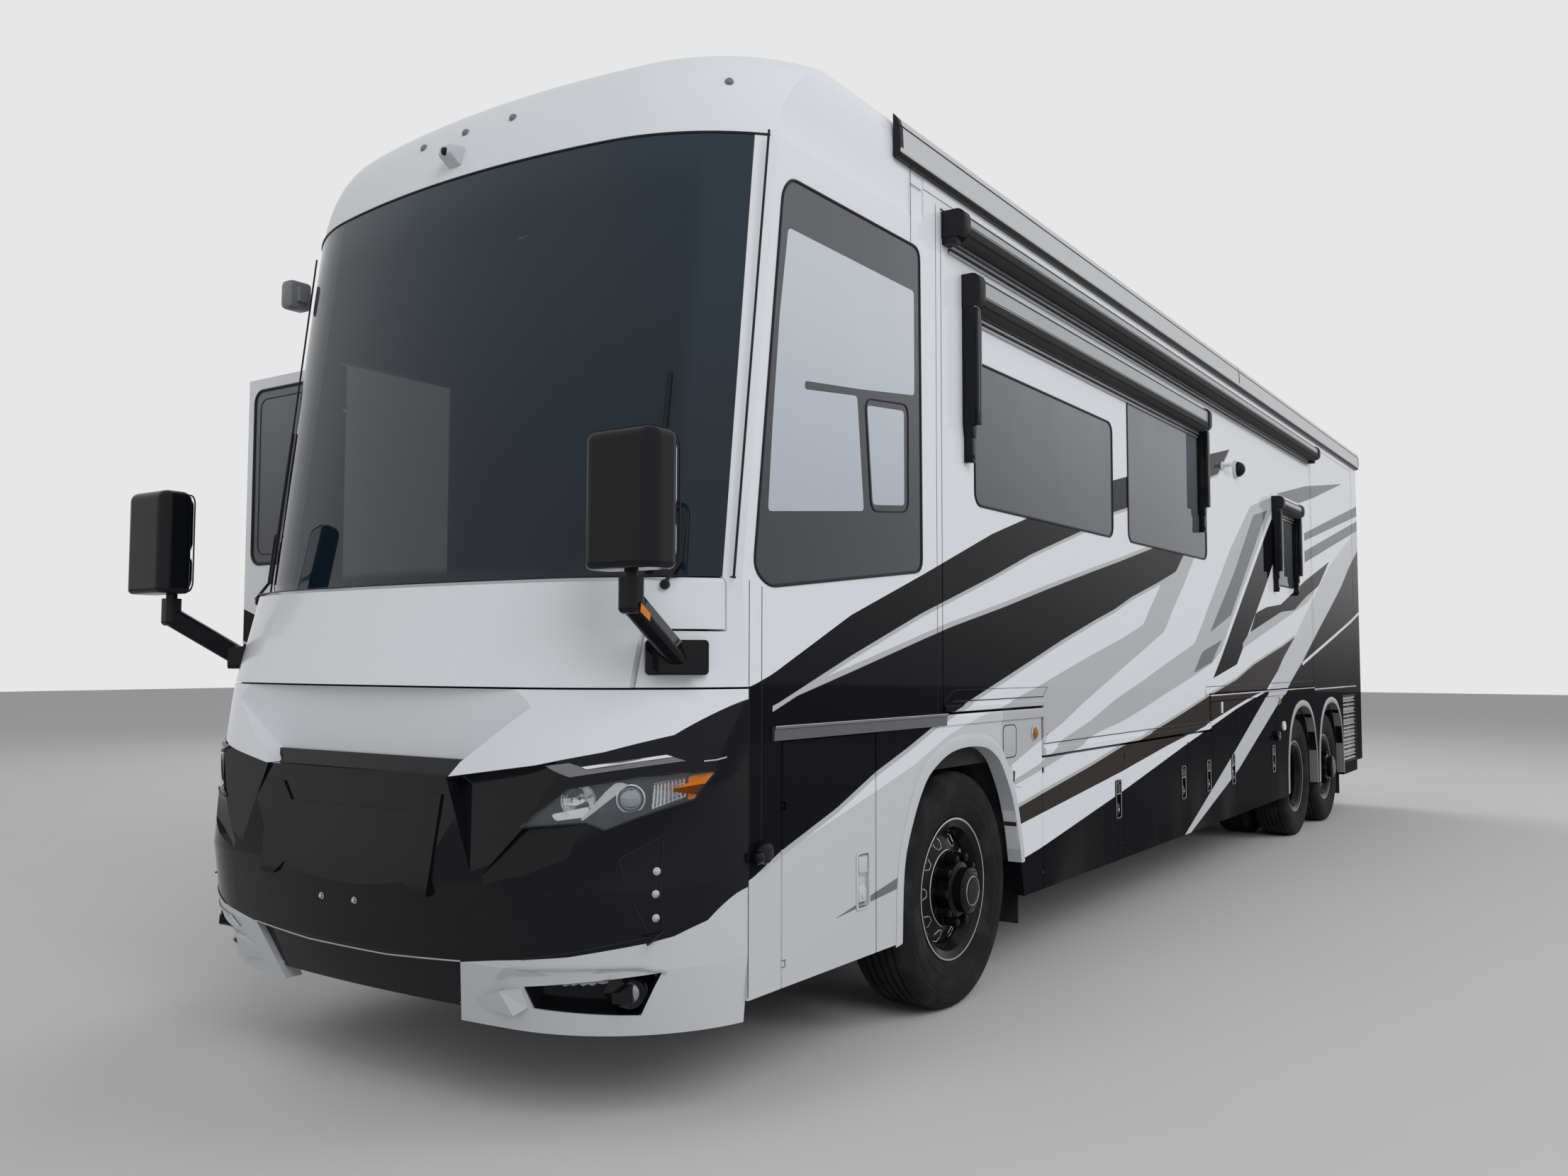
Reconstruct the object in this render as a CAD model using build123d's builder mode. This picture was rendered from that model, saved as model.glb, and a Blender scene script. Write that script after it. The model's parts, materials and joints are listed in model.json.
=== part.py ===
from build123d import *
import math
import os

os.makedirs("parts", exist_ok=True)

# Driving sizes in mm; x forward from the front axle, y left from the middle, z up from the ground
half_width = 1283
wall = 60
inner_y = half_width - wall
skirt_low = 400
belt = 1270
wall_top = 3640
roof_side = 3700
roof_top = 3850
cap_back = 400
rear_seam = -9200
rear_face = -9660
axle_z = 515
tyre_radius = 515
tyre_half = 147
drive_x = -6678
tag_x = -7918
wheel_y = 1088
twin_gap = 340
pin_depth = 9
pin_radius = 4
pin_fit = 0.05
hinge_half = 8
hinge_low = 480
hinge_high = 980
door_gap = 6
seat_gap = 0.3

# Rows of the nose: height, x on the middle line, x where the side begins, half width
nose_low_rows = [
    (330, 2190, 1640, 1270),
    (545, 2275, 1660, 1283),
    (800, 2310, 1660, 1283),
    (1130, 2285, 1660, 1283),
    (1430, 2235, 1660, 1283),
    (1780, 2125, 1700, 1283),
    (1794, 2085, 1700, 1283),
]
screen_rows = [(1797, 2070, 1700, 1283), (3380, 1860, 1490, 1283)]
cap_rows = [(1270, 2262, 1660, 1283), (1430, 2235, 1660, 1283), (1780, 2125, 1700, 1283)] + screen_rows
brow_rows = [
    (3380, 1860, 1490, 1283),
    (3600, 1790, 1390, 1281),
    (3720, 1690, 1240, 1268),
    (3790, 1560, 1080, 1215),
    (3830, 1380, 900, 1080),
]


def block(x, y, z, mode=Mode.ADD):
    """Box between the two values given for each of x, y and z."""
    with Locations(((x[0] + x[1]) / 2, (y[0] + y[1]) / 2, (z[0] + z[1]) / 2)):
        Box(x[1] - x[0], y[1] - y[0], z[1] - z[0], mode=mode)


def side(points, y, mode=Mode.ADD, corner=0):
    """Solid whose side view is the outline of x, z points, between two values of y."""
    with BuildSketch(Plane.XZ.offset(-y[1])) as outline:
        with BuildLine():
            Polyline(*points, close=True)
        make_face()
        if corner:
            fillet(outline.vertices(), corner)
    extrude(outline.sketch, amount=y[1] - y[0], mode=mode)


def front(points, x, mode=Mode.ADD, corner=0):
    """Solid whose front view is the outline of y, z points, between two values of x."""
    with BuildSketch(Plane.YZ.offset(x[0])) as outline:
        with BuildLine():
            Polyline(*points, close=True)
        make_face()
        if corner:
            fillet(outline.vertices(), corner)
    extrude(outline.sketch, amount=x[1] - x[0], mode=mode)


def rod(centre, radius, length, axis="y", mode=Mode.ADD):
    """Cylinder about its centre along x, y or z."""
    turn = {"x": (0, 90, 0), "y": (90, 0, 0), "z": (0, 0, 0)}[axis]
    with Locations(Location(centre, turn)):
        Cylinder(radius, length, mode=mode)


def spread(s, a, b):
    """The two values of y of one side, s is 1 on the left and -1 on the right."""
    return tuple(sorted((s * a, s * b)))


def hinge_seat(x, s, z, reach):
    """Pin on a bracket that comes from inside the body, x is the pin's, reach is where it is held."""
    y = half_width - pin_depth
    rod((x, s * y, z), pin_radius, 70, "z")
    rod((x, s * y, z), pin_depth, 2 * hinge_half, "z")
    block((x - pin_depth, x + pin_depth), spread(s, 1200, y), (z - hinge_half, z + hinge_half))
    if reach:
        block((x - pin_depth, reach), spread(s, 1200, inner_y), (z - hinge_half, z + hinge_half))


def side_door(x0, x1, z0, z1, depth, s, seats):
    """Panel hinged at its front edge: rounded about the pins, notched and bored for its seats."""
    px = x1 - pin_depth
    y = half_width - pin_depth
    with BuildPart() as piece:
        block((x0, x1), spread(s, half_width - depth, half_width), (z0, z1))
        corner = piece.edges().filter_by(Axis.Z).sort_by(lambda e: e.center().X + s * e.center().Y)[-1]
        fillet(corner, pin_depth)
        for z in seats:
            block((px - 14, x1 + 1), spread(s, 1200, 1300), (z - 14, z + 14), Mode.SUBTRACT)
            rod((px, s * y, z), pin_radius + pin_fit, 80, "z", Mode.SUBTRACT)
    return piece.part


def nose_section(z, x_mid, x_side, y_side, x_back, arc, y_flat):
    """Level section of the nose: a flat front arc, two corner arcs and straight sides."""
    x_flat = x_mid - (arc - math.sqrt(arc**2 - y_flat**2))
    slope = (math.sqrt(1 - (y_flat / arc) ** 2), y_flat / arc)
    dx = x_flat - x_side
    dy = y_flat - y_side
    radius = (dx**2 + dy**2) / (2 * (slope[0] * dx + slope[1] * dy))
    cx = x_flat - radius * slope[0]
    cy = y_flat - radius * slope[1]
    a0 = math.atan2(y_flat - cy, x_flat - cx)
    a1 = math.atan2(y_side - cy, x_side - cx)
    mid = (cx + radius * math.cos((a0 + a1) / 2), cy + radius * math.sin((a0 + a1) / 2))
    with BuildSketch(Plane.XY.offset(z)) as level:
        with BuildLine():
            ThreePointArc((x_flat, -y_flat), (x_mid, 0), (x_flat, y_flat))
            ThreePointArc((x_flat, y_flat), mid, (x_side, y_side))
            Line((x_side, y_side), (x_back, y_side))
            Line((x_back, y_side), (x_back, -y_side))
            Line((x_back, -y_side), (x_side, -y_side))
            ThreePointArc((x_side, -y_side), (mid[0], -mid[1]), (x_flat, -y_flat))
        make_face()
    return level.sketch.face()


def nose_body(rows, x_back, inset, low=0, high=0, arc=6000, y_flat=700, ruled=True):
    """Stack of lofts through the rows, each drawn in by the inset."""
    with BuildPart() as stack:
        levels = []
        for z, x_mid, x_side, y_side in rows:
            drawn = (x_mid - inset, x_side - inset * 0.4, y_side - inset)
            levels.append(nose_section(z, *drawn, x_back, arc, y_flat - inset * 0.5))
        if ruled:
            for lower, upper in zip(levels, levels[1:]):
                loft([lower, upper], ruled=True)
        else:
            loft(levels)
        if low:
            block((x_back - 10, 2500), (-1400, 1400), (0, low), Mode.SUBTRACT)
        if high:
            block((x_back - 10, 2500), (-1400, 1400), (high, 4200), Mode.SUBTRACT)
    return stack.part


# Chassis: two rails, cross members and the hitch receiver
rail_y = (360, 440)
rail_z = (650, 900)
cross_x = [1500, 700, -900, -2400, -3900, -5400, -7300, -8100]
riser_x = [1300, -900, -2400, -3900, -5400, -9000]
jack_x = [1200, -8900]
floor_z = (1060, 1120)
with BuildPart() as chassis_frame:
    for s in (1, -1):
        block((-9400, 1640), tuple(sorted((s * rail_y[0], s * rail_y[1]))), rail_z)
    for x in cross_x:
        block((x - 40, x + 40), (-rail_y[0], rail_y[0]), (700, 850))
    block((-9560, -9400), (-520, 520), (640, 760))
    for s in (1, -1):
        for x in riser_x:
            block((x - 60, x + 60), spread(s, *rail_y), (rail_z[1], floor_z[0]))
        for x in jack_x:
            block((x - 70, x + 70), spread(s, *rail_y), (rail_z[0] - 20, rail_z[0]))

# Hitch receiver under the rear cross tube: square socket with a cross pin bore
with BuildPart() as hitch_receiver:
    block((-9760, -9440), (-38, 38), (564, 640))
    block((-9761, -9460), (-25.8, 25.8), (576, 628), Mode.SUBTRACT)
    rod((-9700, 0, 602), 8, 90, "y", Mode.SUBTRACT)

# Axles with air springs up to the rails
spring_top = rail_z[0]
with BuildPart() as front_axle:
    block((-60, 60), (-880, 880), (405, 505))
    for s in (1, -1):
        rod((0, s * 940, 515), 62, 150, "z")
        block((-60, 60), tuple(sorted((s * 860, s * 930))), (445, 585))
        rod((0, s * 940, 515), 26, 152, "z", Mode.SUBTRACT)
        rod((0, s * 400, (505 + spring_top) / 2), 115, spring_top - 505, "z")
        block((60, 700), tuple(sorted((s * 380, s * 420))), (440, 490))
        block((640, 700), tuple(sorted((s * 380, s * 420))), (490, spring_top))

axle_rows = [("drive_axle", drive_x, 190, 560), ("tag_axle", tag_x, 0, 1)]
with BuildPart() as drive_axle:
    rod((drive_x, 0, axle_z), 75, 1250)
    with Locations((drive_x, 0, axle_z)):
        Sphere(205)
    for s in (1, -1):
        rod((drive_x, s * 855, axle_z), 45, 470)
        for dx in (-330, 330):
            rod((drive_x + dx, s * 400, 590), 115, 120, "z")
        block((drive_x - 450, drive_x + 450), tuple(sorted((s * 350, s * 450))), (480, 530))
    block((drive_x - 1300, drive_x - 150), (-55, 55), (500, 610))
with BuildPart() as tag_axle:
    block((tag_x - 60, tag_x + 60), (-900, 900), (350, 450))
    for s in (1, -1):
        block((tag_x - 60, tag_x + 60), tuple(sorted((s * 820, s * 900))), (450, 580))
        rod((tag_x, s * 980, axle_z), 45, 200)
        for dx in (-300, 300):
            rod((tag_x + dx, s * 400, 575), 115, 150, "z")
        block((tag_x - 420, tag_x + 420), tuple(sorted((s * 350, s * 450))), (450, 500))

# Knuckles: king pin in the axle's eye, a yoke round it and the stub for the hub
stub_radius = 40
stub_fit = 0.05
stub_end = 1075


def knuckle(s):
    """Steering knuckle of one side, s is 1 on the left and -1 on the right."""
    with BuildPart() as piece:
        rod((0, s * 940, 515), 25.95, 250, "z")
        for z in ((595, 625), (405, 435)):
            rod((0, s * 940, sum(z) / 2), 60, z[1] - z[0], "z")
            block((-50, 50), tuple(sorted((s * 940, s * 1030))), z)
        block((-50, 50), tuple(sorted((s * 1006, s * 1030))), (405, 625))
        rod((0, s * (1030 + stub_end) / 2, 515), stub_radius, stub_end - 1030)
        block((50, 170), tuple(sorted((s * 1006, s * 1030))), (440, 470))
    return piece.part


# Tyres as section points of radius and half-section offset, the same for every wheel
tyre_points = [
    (285.1, -109), (314, -111), (350, -134), (412, -147), (474, -141), (506, -124), (515, -100),
    (515, 100), (506, 124), (474, 141), (412, 147), (350, 134), (314, 111), (285.1, 109),
]
rim_points = [
    (285, -111), (309, -112), (309, -119), (298, -119), (270, -106), (250, -58), (246, 62), (270, 106),
    (298, 119), (309, 119), (309, 112), (285, 111), (283, 92), (262, 62), (265, -58), (283, -92),
]


def ring(points):
    """Ring turned about z from points of radius and height."""
    with BuildPart() as piece:
        with BuildSketch(Plane.XZ):
            with BuildLine():
                Polyline(*points, close=True)
            make_face()
        revolve(axis=Axis.Z)
    return piece.part


def wheel(dish, hub, nuts):
    """Rim, dished disc with hand holes, stepped hub and nut covers about z, the outer face up."""
    with BuildPart() as piece:
        add(ring(rim_points))
        add(ring(dish))
        with Locations((0, 0, dish[1][1] - 25)):
            with PolarLocations(212, 10):
                with BuildSketch(Plane.XY) as hole:
                    RegularPolygon(27, 6)
                extrude(hole.sketch, amount=90, both=True, mode=Mode.SUBTRACT)
        add(ring(hub))
        with Locations((0, 0, nuts)):
            with PolarLocations(143, 10):
                Cylinder(19, 62, align=(Align.CENTER, Align.CENTER, Align.MIN))
    return piece.part


def placed(part, x, y, s):
    """Wheel part set on its axle, s gives the side its outer face looks to."""
    return Location((x, y, axle_z), (-90 * s, 0, 0)) * part


tyre_shape = ring(tyre_points)
front_dish = [(60, 90), (165, 90), (252, 50), (252, 28), (165, 68), (60, 68)]
front_hub = [
    (0, 212), (70, 212), (98, 200), (98, 160), (118, 150), (118, 100), (105, 60), (105, -40), (0, -40),
]
drive_dish = [(60, -78), (165, -78), (262, -58), (262, -84), (165, -100), (60, -100)]
drive_hub = [(0, 30), (70, 30), (95, 18), (95, -40), (112, -50), (112, -110), (0, -110)]
with BuildPart() as front_wheel:
    add(wheel(front_dish, front_hub, 90))
    rod((0, 0, -35), stub_radius + stub_fit, 60, "z", Mode.SUBTRACT)
with BuildPart() as tag_wheel:
    add(wheel(front_dish, front_hub, 90))
    rod((0, 0, -35), 45 + stub_fit, 80, "z", Mode.SUBTRACT)
with BuildPart() as drive_outer:
    add(wheel(drive_dish, drive_hub, -78))
with BuildPart() as drive_inner:
    add(ring(rim_points))
    rod((0, 0, 70), 262, 20, "z")
    rod((0, 0, 60), 110, 340, "z")

nodes = {}
nodes["chassis_frame"] = chassis_frame.part
nodes["hitch_receiver"] = hitch_receiver.part
nodes["front_axle"] = front_axle.part
nodes["drive_axle"] = drive_axle.part
nodes["tag_axle"] = tag_axle.part
for name, s in (("left", 1), ("right", -1)):
    nodes[f"knuckle_{name}"] = knuckle(s)
    nodes[f"tyre_front_{name}"] = placed(tyre_shape, 0, s * wheel_y, s)
    nodes[f"wheel_front_{name}"] = placed(front_wheel.part, 0, s * wheel_y, s)
    nodes[f"tyre_tag_{name}"] = placed(tyre_shape, tag_x, s * wheel_y, s)
    nodes[f"wheel_tag_{name}"] = placed(tag_wheel.part, tag_x, s * wheel_y, s)
    with BuildPart() as twin_tyres:
        for y in (wheel_y, wheel_y - twin_gap):
            add(placed(tyre_shape, drive_x, s * y, s))
    nodes[f"tyre_drive_{name}"] = twin_tyres.part
    with BuildPart() as twin_rims:
        add(placed(drive_outer.part, drive_x, s * wheel_y, s))
        add(placed(drive_inner.part, drive_x, s * (wheel_y - twin_gap), s))
        rod((drive_x, s * (wheel_y - 120), axle_z), 45 + stub_fit, 900, "y", Mode.SUBTRACT)
        rod((drive_x, s * (wheel_y + 20), axle_z), 60, 20, "y")
    nodes[f"wheel_drive_{name}"] = twin_rims.part

# Engine over the rear overhang
with BuildPart() as engine:
    block((-9350, -8345), (-350, 350), (460, 1040))
    for s in (1, -1):
        for x in (-9200, -8500):
            block((x - 50, x + 50), spread(s, 340, rail_y[0]), (760, 840))
nodes["engine"] = engine.part

# Slide-out opening and lip
slide_x = (-7150, 238)
slide_z = (1300, 3490)
lip_x = (-3780, -850)
lip_z = 1052
gap = 8

# Floor with the entry step well, basement trays and their bulkheads
door_x = (750, 1455)
with BuildPart() as floor:
    block((-9140, 1560), (-1215, 1215), floor_z)
    block((door_x[0], door_x[1]), (-1216, -720), (1050, 1130), Mode.SUBTRACT)
    for x in (-6700, -4700, -600):
        block((x - 60, x + 60), (560, 1200), (floor_z[1], slide_z[0] - seat_gap))
nodes["floor"] = floor.part
step_rows = [((1300, 1455), (420, 450)), ((1300, 1455), (740, 770))]
with BuildPart() as entry_steps:
    block((760, 1445), (-1215, -730), (430, 460))
    block((760, 1445), (-960, -730), (460, 740))
    block((760, 1445), (-740, -720), (740, 1060))
nodes["entry_steps"] = entry_steps.part
# Bay doors: name, rear edge, front edge and top
left_bays = [
    ("bay_left_1", 818, 1463, 1240),
    ("bay_left_2", -2019, -830, 1040),
    ("bay_left_3", -3252, -2019, 1040),
    ("bay_left_4", -3831, -3252, 1040),
    ("bay_left_5", -4462, -3831, 1240),
    ("bay_left_6", -5687, -4462, 1240),
]
right_bays = [
    ("bay_right_1", -2449, -830, 1240),
    ("bay_right_2", -4068, -2449, 1240),
    ("bay_right_3", -5687, -4068, 1240),
]
with BuildPart() as basement:
    block((-5690, -830), (-1215, 1215), (420, 450))
    for s, xs in ((1, (-845, -2019, -3252, -4462, -5675)), (-1, (-845, -2449, -4068, -5675))):
        for x in xs:
            block((x - 12, x + 12), spread(s, 450, 1215), (450, floor_z[0]))
    block((left_bays[4][2] - 12, left_bays[4][2] + 12), (1195, 1215), (450, floor_z[0]))
    for rows, s in ((left_bays[1:], 1), (right_bays, -1)):
        for row in rows:
            for z in (hinge_low, hinge_high):
                hinge_seat(row[2] - door_gap / 2 - pin_depth, s, z, 0)
nodes["basement"] = basement.part

# Side walls above the belt; the left one is cut for the slide-out
wall_outline = [(rear_seam, belt), (cap_back, belt), (cap_back, wall_top), (rear_seam, wall_top)]
with BuildPart() as left_wall:
    side(wall_outline, (inner_y, half_width))
    block((slide_x[0] - gap, slide_x[1] + gap), (1200, 1300), (belt - 1, slide_z[1] + gap), Mode.SUBTRACT)
nodes["left_wall"] = left_wall.part
right_windows = [(-1750, -350, 2240, 2880), (-4300, -2900, 2240, 2880), (-6900, -6000, 2400, 2880)]
with BuildPart() as right_wall:
    side(wall_outline, (-half_width, -inner_y))
    for x0, x1, z0, z1 in right_windows:
        side([(x0, z0), (x1, z0), (x1, z1), (x0, z1)], (-1300, -1200), Mode.SUBTRACT, 60)
nodes["right_wall"] = right_wall.part

# Roof, crowned between its side edges
edge_radius = 72
edge_y = half_width - edge_radius
edge_z = roof_side + edge_radius
edge_mid = (edge_y + edge_radius * math.cos(math.pi / 4), roof_side + edge_radius * math.sin(math.pi / 4))
with BuildPart() as roof:
    with BuildSketch(Plane.YZ.offset(rear_seam)):
        with BuildLine():
            Polyline((-1210, 3760), (-inner_y, wall_top), (-half_width, wall_top), (-half_width, roof_side))
            ThreePointArc((-half_width, roof_side), (-edge_mid[0], edge_mid[1]), (-edge_y, edge_z))
            ThreePointArc((-edge_y, edge_z), (0, roof_top), (edge_y, edge_z))
            ThreePointArc((edge_y, edge_z), edge_mid, (half_width, roof_side))
            Polyline((half_width, roof_side), (half_width, wall_top), (inner_y, wall_top), (1210, 3700))
            Polyline((1210, 3700), (-1210, 3700), (-1210, 3760))
        make_face()
    extrude(amount=cap_back - rear_seam)
nodes["roof"] = roof.part

# Air conditioner covers on the roof
with BuildPart() as roof_units:
    for x in (-1500, -6200):
        with BuildPart(mode=Mode.PRIVATE) as unit:
            block((x - 520, x + 520), (-360, 360), (3830, 4045))
            fillet(unit.edges().filter_by(Axis.Z), 120)
            fillet(unit.faces().sort_by(Axis.Z)[-1].edges(), 60)
        add(unit.part)
    add(roof.part, mode=Mode.SUBTRACT)
nodes["roof_units"] = roof_units.part

# Front cap: pillars, brow and the surrounds of the driver's window and the entry door
window_points = [(1635, 1830), (1547, 1775), (431, 1894), (443, 3262), (1410, 3250), (1465, 3191)]
seam = 7
panel_side = 1745
panel_step = (1080, 1617)
facia_top = 1430


def mirrored(points):
    """Front outline across the whole width from its left half, read from the middle outwards."""
    return [(-y, z) for y, z in points[::-1]] + points


def panel_cut(grow):
    """Space in front of the cap for the upper nose panel, grown by the seam on every side."""
    with BuildPart() as piece:
        y = panel_step[0] + grow
        z = panel_step[1] - grow
        low = [(y, facia_top - seam / 2 - grow), (y, z), (1400, z), (1400, 1797)]
        front(mirrored(low), (panel_side - grow, 2500))
    return piece.part


skin = 150
cowl_z = (1700, 1780)
with BuildPart() as cowl:
    add(nose_body(nose_low_rows, 1400, skin + seat_gap))
    block((1700, 2400), (-inner_y, inner_y), cowl_z, Mode.INTERSECT)
    block((1700, panel_side), (-inner_y, inner_y), cowl_z)
with BuildPart() as front_cap:
    add(nose_body(cap_rows, cap_back, 0, arc=4200, y_flat=750))
    add(nose_body(brow_rows, cap_back, 0, arc=4200, y_flat=750, ruled=False))
    for rows in ([(1200, 2262, 1660, 1283)] + cap_rows[1:], [(3370, 1861, 1491, 1283)] + brow_rows[1:4]):
        add(nose_body(rows, cap_back - 20, 60, arc=4200, y_flat=750), mode=Mode.SUBTRACT)
    side([(1749, 1797), (1552, 3380), (2500, 3380), (2500, 1797)], (-1400, 1400), Mode.SUBTRACT)
    block((1660, 2500), (-1400, 1400), (1200, facia_top + seam / 2), Mode.SUBTRACT)
    add(panel_cut(0), mode=Mode.SUBTRACT)
    side(window_points, (1150, 1400), Mode.SUBTRACT, 40)
    block(door_x, (-1400, -1150), (1200, 2920), Mode.SUBTRACT)
    for z in (1700, 2700):
        hinge_seat(door_x[1] - 8 - pin_depth, -1, z, 1490)
    add(cowl.part)
nodes["front_cap"] = front_cap.part
with BuildPart() as windscreen:
    add(nose_body(screen_rows, 1300, 0, arc=4200, y_flat=750))
    inside = [(1790, 2071, 1701, 1283), (3390, 1859, 1489, 1283)]
    add(nose_body(inside, 1290, 14, arc=4200, y_flat=750), mode=Mode.SUBTRACT)
    behind = [(1749, 1800), (1552, 3380), (1200, 3380), (1200, 1700), (2500, 1700), (2500, 1800)]
    side(behind, (-1400, 1400), Mode.SUBTRACT)
nodes["windscreen"] = windscreen.part
with BuildPart() as side_glass:
    side(window_points, (half_width - 20, half_width), Mode.ADD, 40)
    for x0, x1, z0, z1 in right_windows:
        side([(x0, z0), (x1, z0), (x1, z1), (x0, z1)], (-half_width, -half_width + 20), Mode.ADD, 60)
nodes["side_glass"] = side_glass.part

# Nose below the windscreen, parted by front outlines of y, z points read from the middle outwards
mask_top = [(545, 1188), (492, 1138), (833, 1187), (1031, 1231), (1179, 1282), (1243, 1349), (1300, 1412)]
mask_low = [
    (214, 525), (561, 545), (711, 567), (947, 593), (1140, 632), (1191, 648), (1244, 687), (1276, 759), (1300, 805),
]
valance = [(480, 378), (555, 543), (214, 524)]
plate = [(320, 795), (380, 750), (455, 750), (475, 1080), (385, 1080), (325, 1015)]
lamp_points = [
    (803, 992), (942, 1117), (1121, 1155), (1253, 1165), (1222, 1072), (1127, 1027), (1047, 985), (998, 1010),
]
fog_radius = 46
fog_points = [(791, 488), (1163, 536), (1097, 397), (798, 414)]
with BuildPart() as nose_outer:
    add(nose_body(nose_low_rows, 1500, 0))
    block((1400, 1660), (-1400, 1400), (200, 2000), Mode.SUBTRACT)


def nose_shell(thickness, rows=nose_low_rows):
    """Skin of the nose with the given thickness."""
    core = [(rows[0][0] - 30,) + rows[0][1:]] + rows[1:-1] + [(rows[-1][0] + 20,) + rows[-1][1:]]
    with BuildPart() as piece:
        add(nose_outer.part)
        add(nose_body(core, 1400, thickness), mode=Mode.SUBTRACT)
    return piece.part


shells = {t: nose_shell(t) for t in (skin, 80, 55, 25, 14)}
# Sloping facets of the mask: three points of each plane, then its front outline
mask_facets = [
    (
        [(2285, 640, 800), (2184, 905, 1140), (2200, 491, 1142)],
        [(491, 1200), (491, 1142), (645, 800), (811, 985), (905, 1142), (905, 1200)],
    ),
    (
        [(2285, 640, 800), (2175, 957, 900), (2205, 811, 983)],
        [(645, 800), (830, 846), (957, 900), (1116, 968), (1121, 1034), (998, 1010), (811, 988)],
    ),
]


def facet(plane_points, outline, s):
    """Material in front of a plane through three points, inside a front outline, on one side."""
    a, b, c = (Vector(x, s * y, z) for x, y, z in plane_points)
    normal = (b - a).cross(c - a).normalized()
    if normal.X < 0:
        normal = -normal
    with BuildPart() as piece:
        with BuildSketch(Plane(origin=a, x_dir=b - a, z_dir=normal)):
            Rectangle(3000, 3000)
        extrude(amount=300)
        front([(s * y, z) for y, z in outline], (1500, 2600), Mode.INTERSECT)
    return piece.part


with BuildPart() as upper_facet:
    side([(2600, 1426), (2190, 1426), (2160, 1130), (2600, 1130)], (-1000, 1000))
    front(mirrored([(492, 1130), (545, 1188), (877, 1426)]), (2000, 2600), Mode.INTERSECT)
with BuildPart() as nose_panel:
    add(shells[skin])
    front(mirrored(mask_top + [(1400, 1412), (1400, 200)]), (1500, 2600), Mode.SUBTRACT)
    add(upper_facet.part, mode=Mode.SUBTRACT)
    block((1500, 2600), (-1400, 1400), (facia_top - seam / 2, facia_top + seam / 2), Mode.SUBTRACT)
    with BuildPart(mode=Mode.PRIVATE) as cap_side:
        block((1500, 2600), (-1400, 1400), (facia_top + seam / 2, 1900))
        add(panel_cut(-seam), mode=Mode.SUBTRACT)
    add(cap_side.part, mode=Mode.SUBTRACT)
nodes["nose_panel"] = nose_panel.part
with BuildPart() as mask:
    add(shells[skin])
    front(mirrored(mask_top + [(1400, 1412), (1400, 2000)]), (1500, 2600), Mode.SUBTRACT)
    front(mirrored(mask_low + [(1400, 805), (1400, 200)]), (1500, 2600), Mode.SUBTRACT)
    with BuildPart(mode=Mode.PRIVATE) as band:
        side([(2600, 1190), (2175, 1190), (2215, 1138), (2600, 1138)], (-1000, 1000))
        front([(-550, 1190), (550, 1190), (492, 1138), (-492, 1138)], (2000, 2600), Mode.INTERSECT)
    add(band.part, mode=Mode.SUBTRACT)
    with BuildPart(mode=Mode.PRIVATE) as recess:
        side([(2600, 1142), (2252, 1142), (2305, 745), (2600, 745)], (-1000, 1000))
        middle = [(-486, 1142), (486, 1142), (640, 805), (560, 745), (-560, 745), (-640, 805)]
        front(middle, (2000, 2600), Mode.INTERSECT)
    add(recess.part, mode=Mode.SUBTRACT)
    with BuildPart(mode=Mode.PRIVATE) as emblem_plate:
        side([(2180, 1080), (2268, 1080), (2309, 750), (2180, 750)], (-500, 500))
        front(mirrored(plate), (2000, 2600), Mode.INTERSECT)
    add(emblem_plate.part)
    for s in (1, -1):
        for plane_points, outline in mask_facets:
            add(facet(plane_points, outline, s), mode=Mode.SUBTRACT)
        front([(s * y, z) for y, z in lamp_points], (1500, 2600), Mode.SUBTRACT)
    with BuildPart(mode=Mode.PRIVATE) as lower_middle:
        add(shells[80])
        front(mirrored(valance[::-1])[::1], (1500, 2600), Mode.INTERSECT)
        add(shells[25], mode=Mode.SUBTRACT)
    add(lower_middle.part)
nodes["mask"] = mask.part
with BuildPart() as bumper:
    add(shells[80])
    front(mirrored(mask_low + [(1400, 805), (1400, 2000)]), (1500, 2600), Mode.SUBTRACT)
    front([(-565, 560), (565, 560), (470, 300), (-470, 300)], (1500, 2600), Mode.SUBTRACT)
    for s in (1, -1):
        with BuildPart(mode=Mode.PRIVATE) as fog_recess:
            add(shells[55])
            front([(s * y, z) for y, z in fog_points], (1500, 2600), Mode.INTERSECT)
        add(fog_recess.part, mode=Mode.SUBTRACT)
        with Locations(Location((1990, s * 1061, 472), (0, 90, s * 35))):
            Cylinder(fog_radius + seat_gap, 260, mode=Mode.SUBTRACT)
nodes["bumper"] = bumper.part
with BuildPart() as headlamps:
    for s in (1, -1):
        with BuildPart(mode=Mode.PRIVATE) as lamp:
            add(shells[14])
            front([(s * y, z) for y, z in lamp_points], (1661, 2600), Mode.INTERSECT)
        add(lamp.part)
        with Locations(Location((1990, s * 1061, 472), (0, 90, s * 35))):
            Cylinder(fog_radius, 60)
nodes["headlamps"] = headlamps.part

# Fixed lower sides with their wheel arches
arch_front = [
    (620, 390), (600, 693), (520, 894), (421, 1033), (166, 1147),
    (-168, 1147), (-350, 1053), (-457, 900), (-560, 564), (-600, 390),
]
arch_rear = [
    (560, 390), (545, 690), (450, 960), (250, 1110), (0, 1150),
    (-250, 1110), (-450, 960), (-545, 690), (-560, 390),
]
grille_box = (-9150, -8480, 520, 1180)
front_bay = (818, 1463, 380, 1240)
front_hinge = 1020


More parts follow.
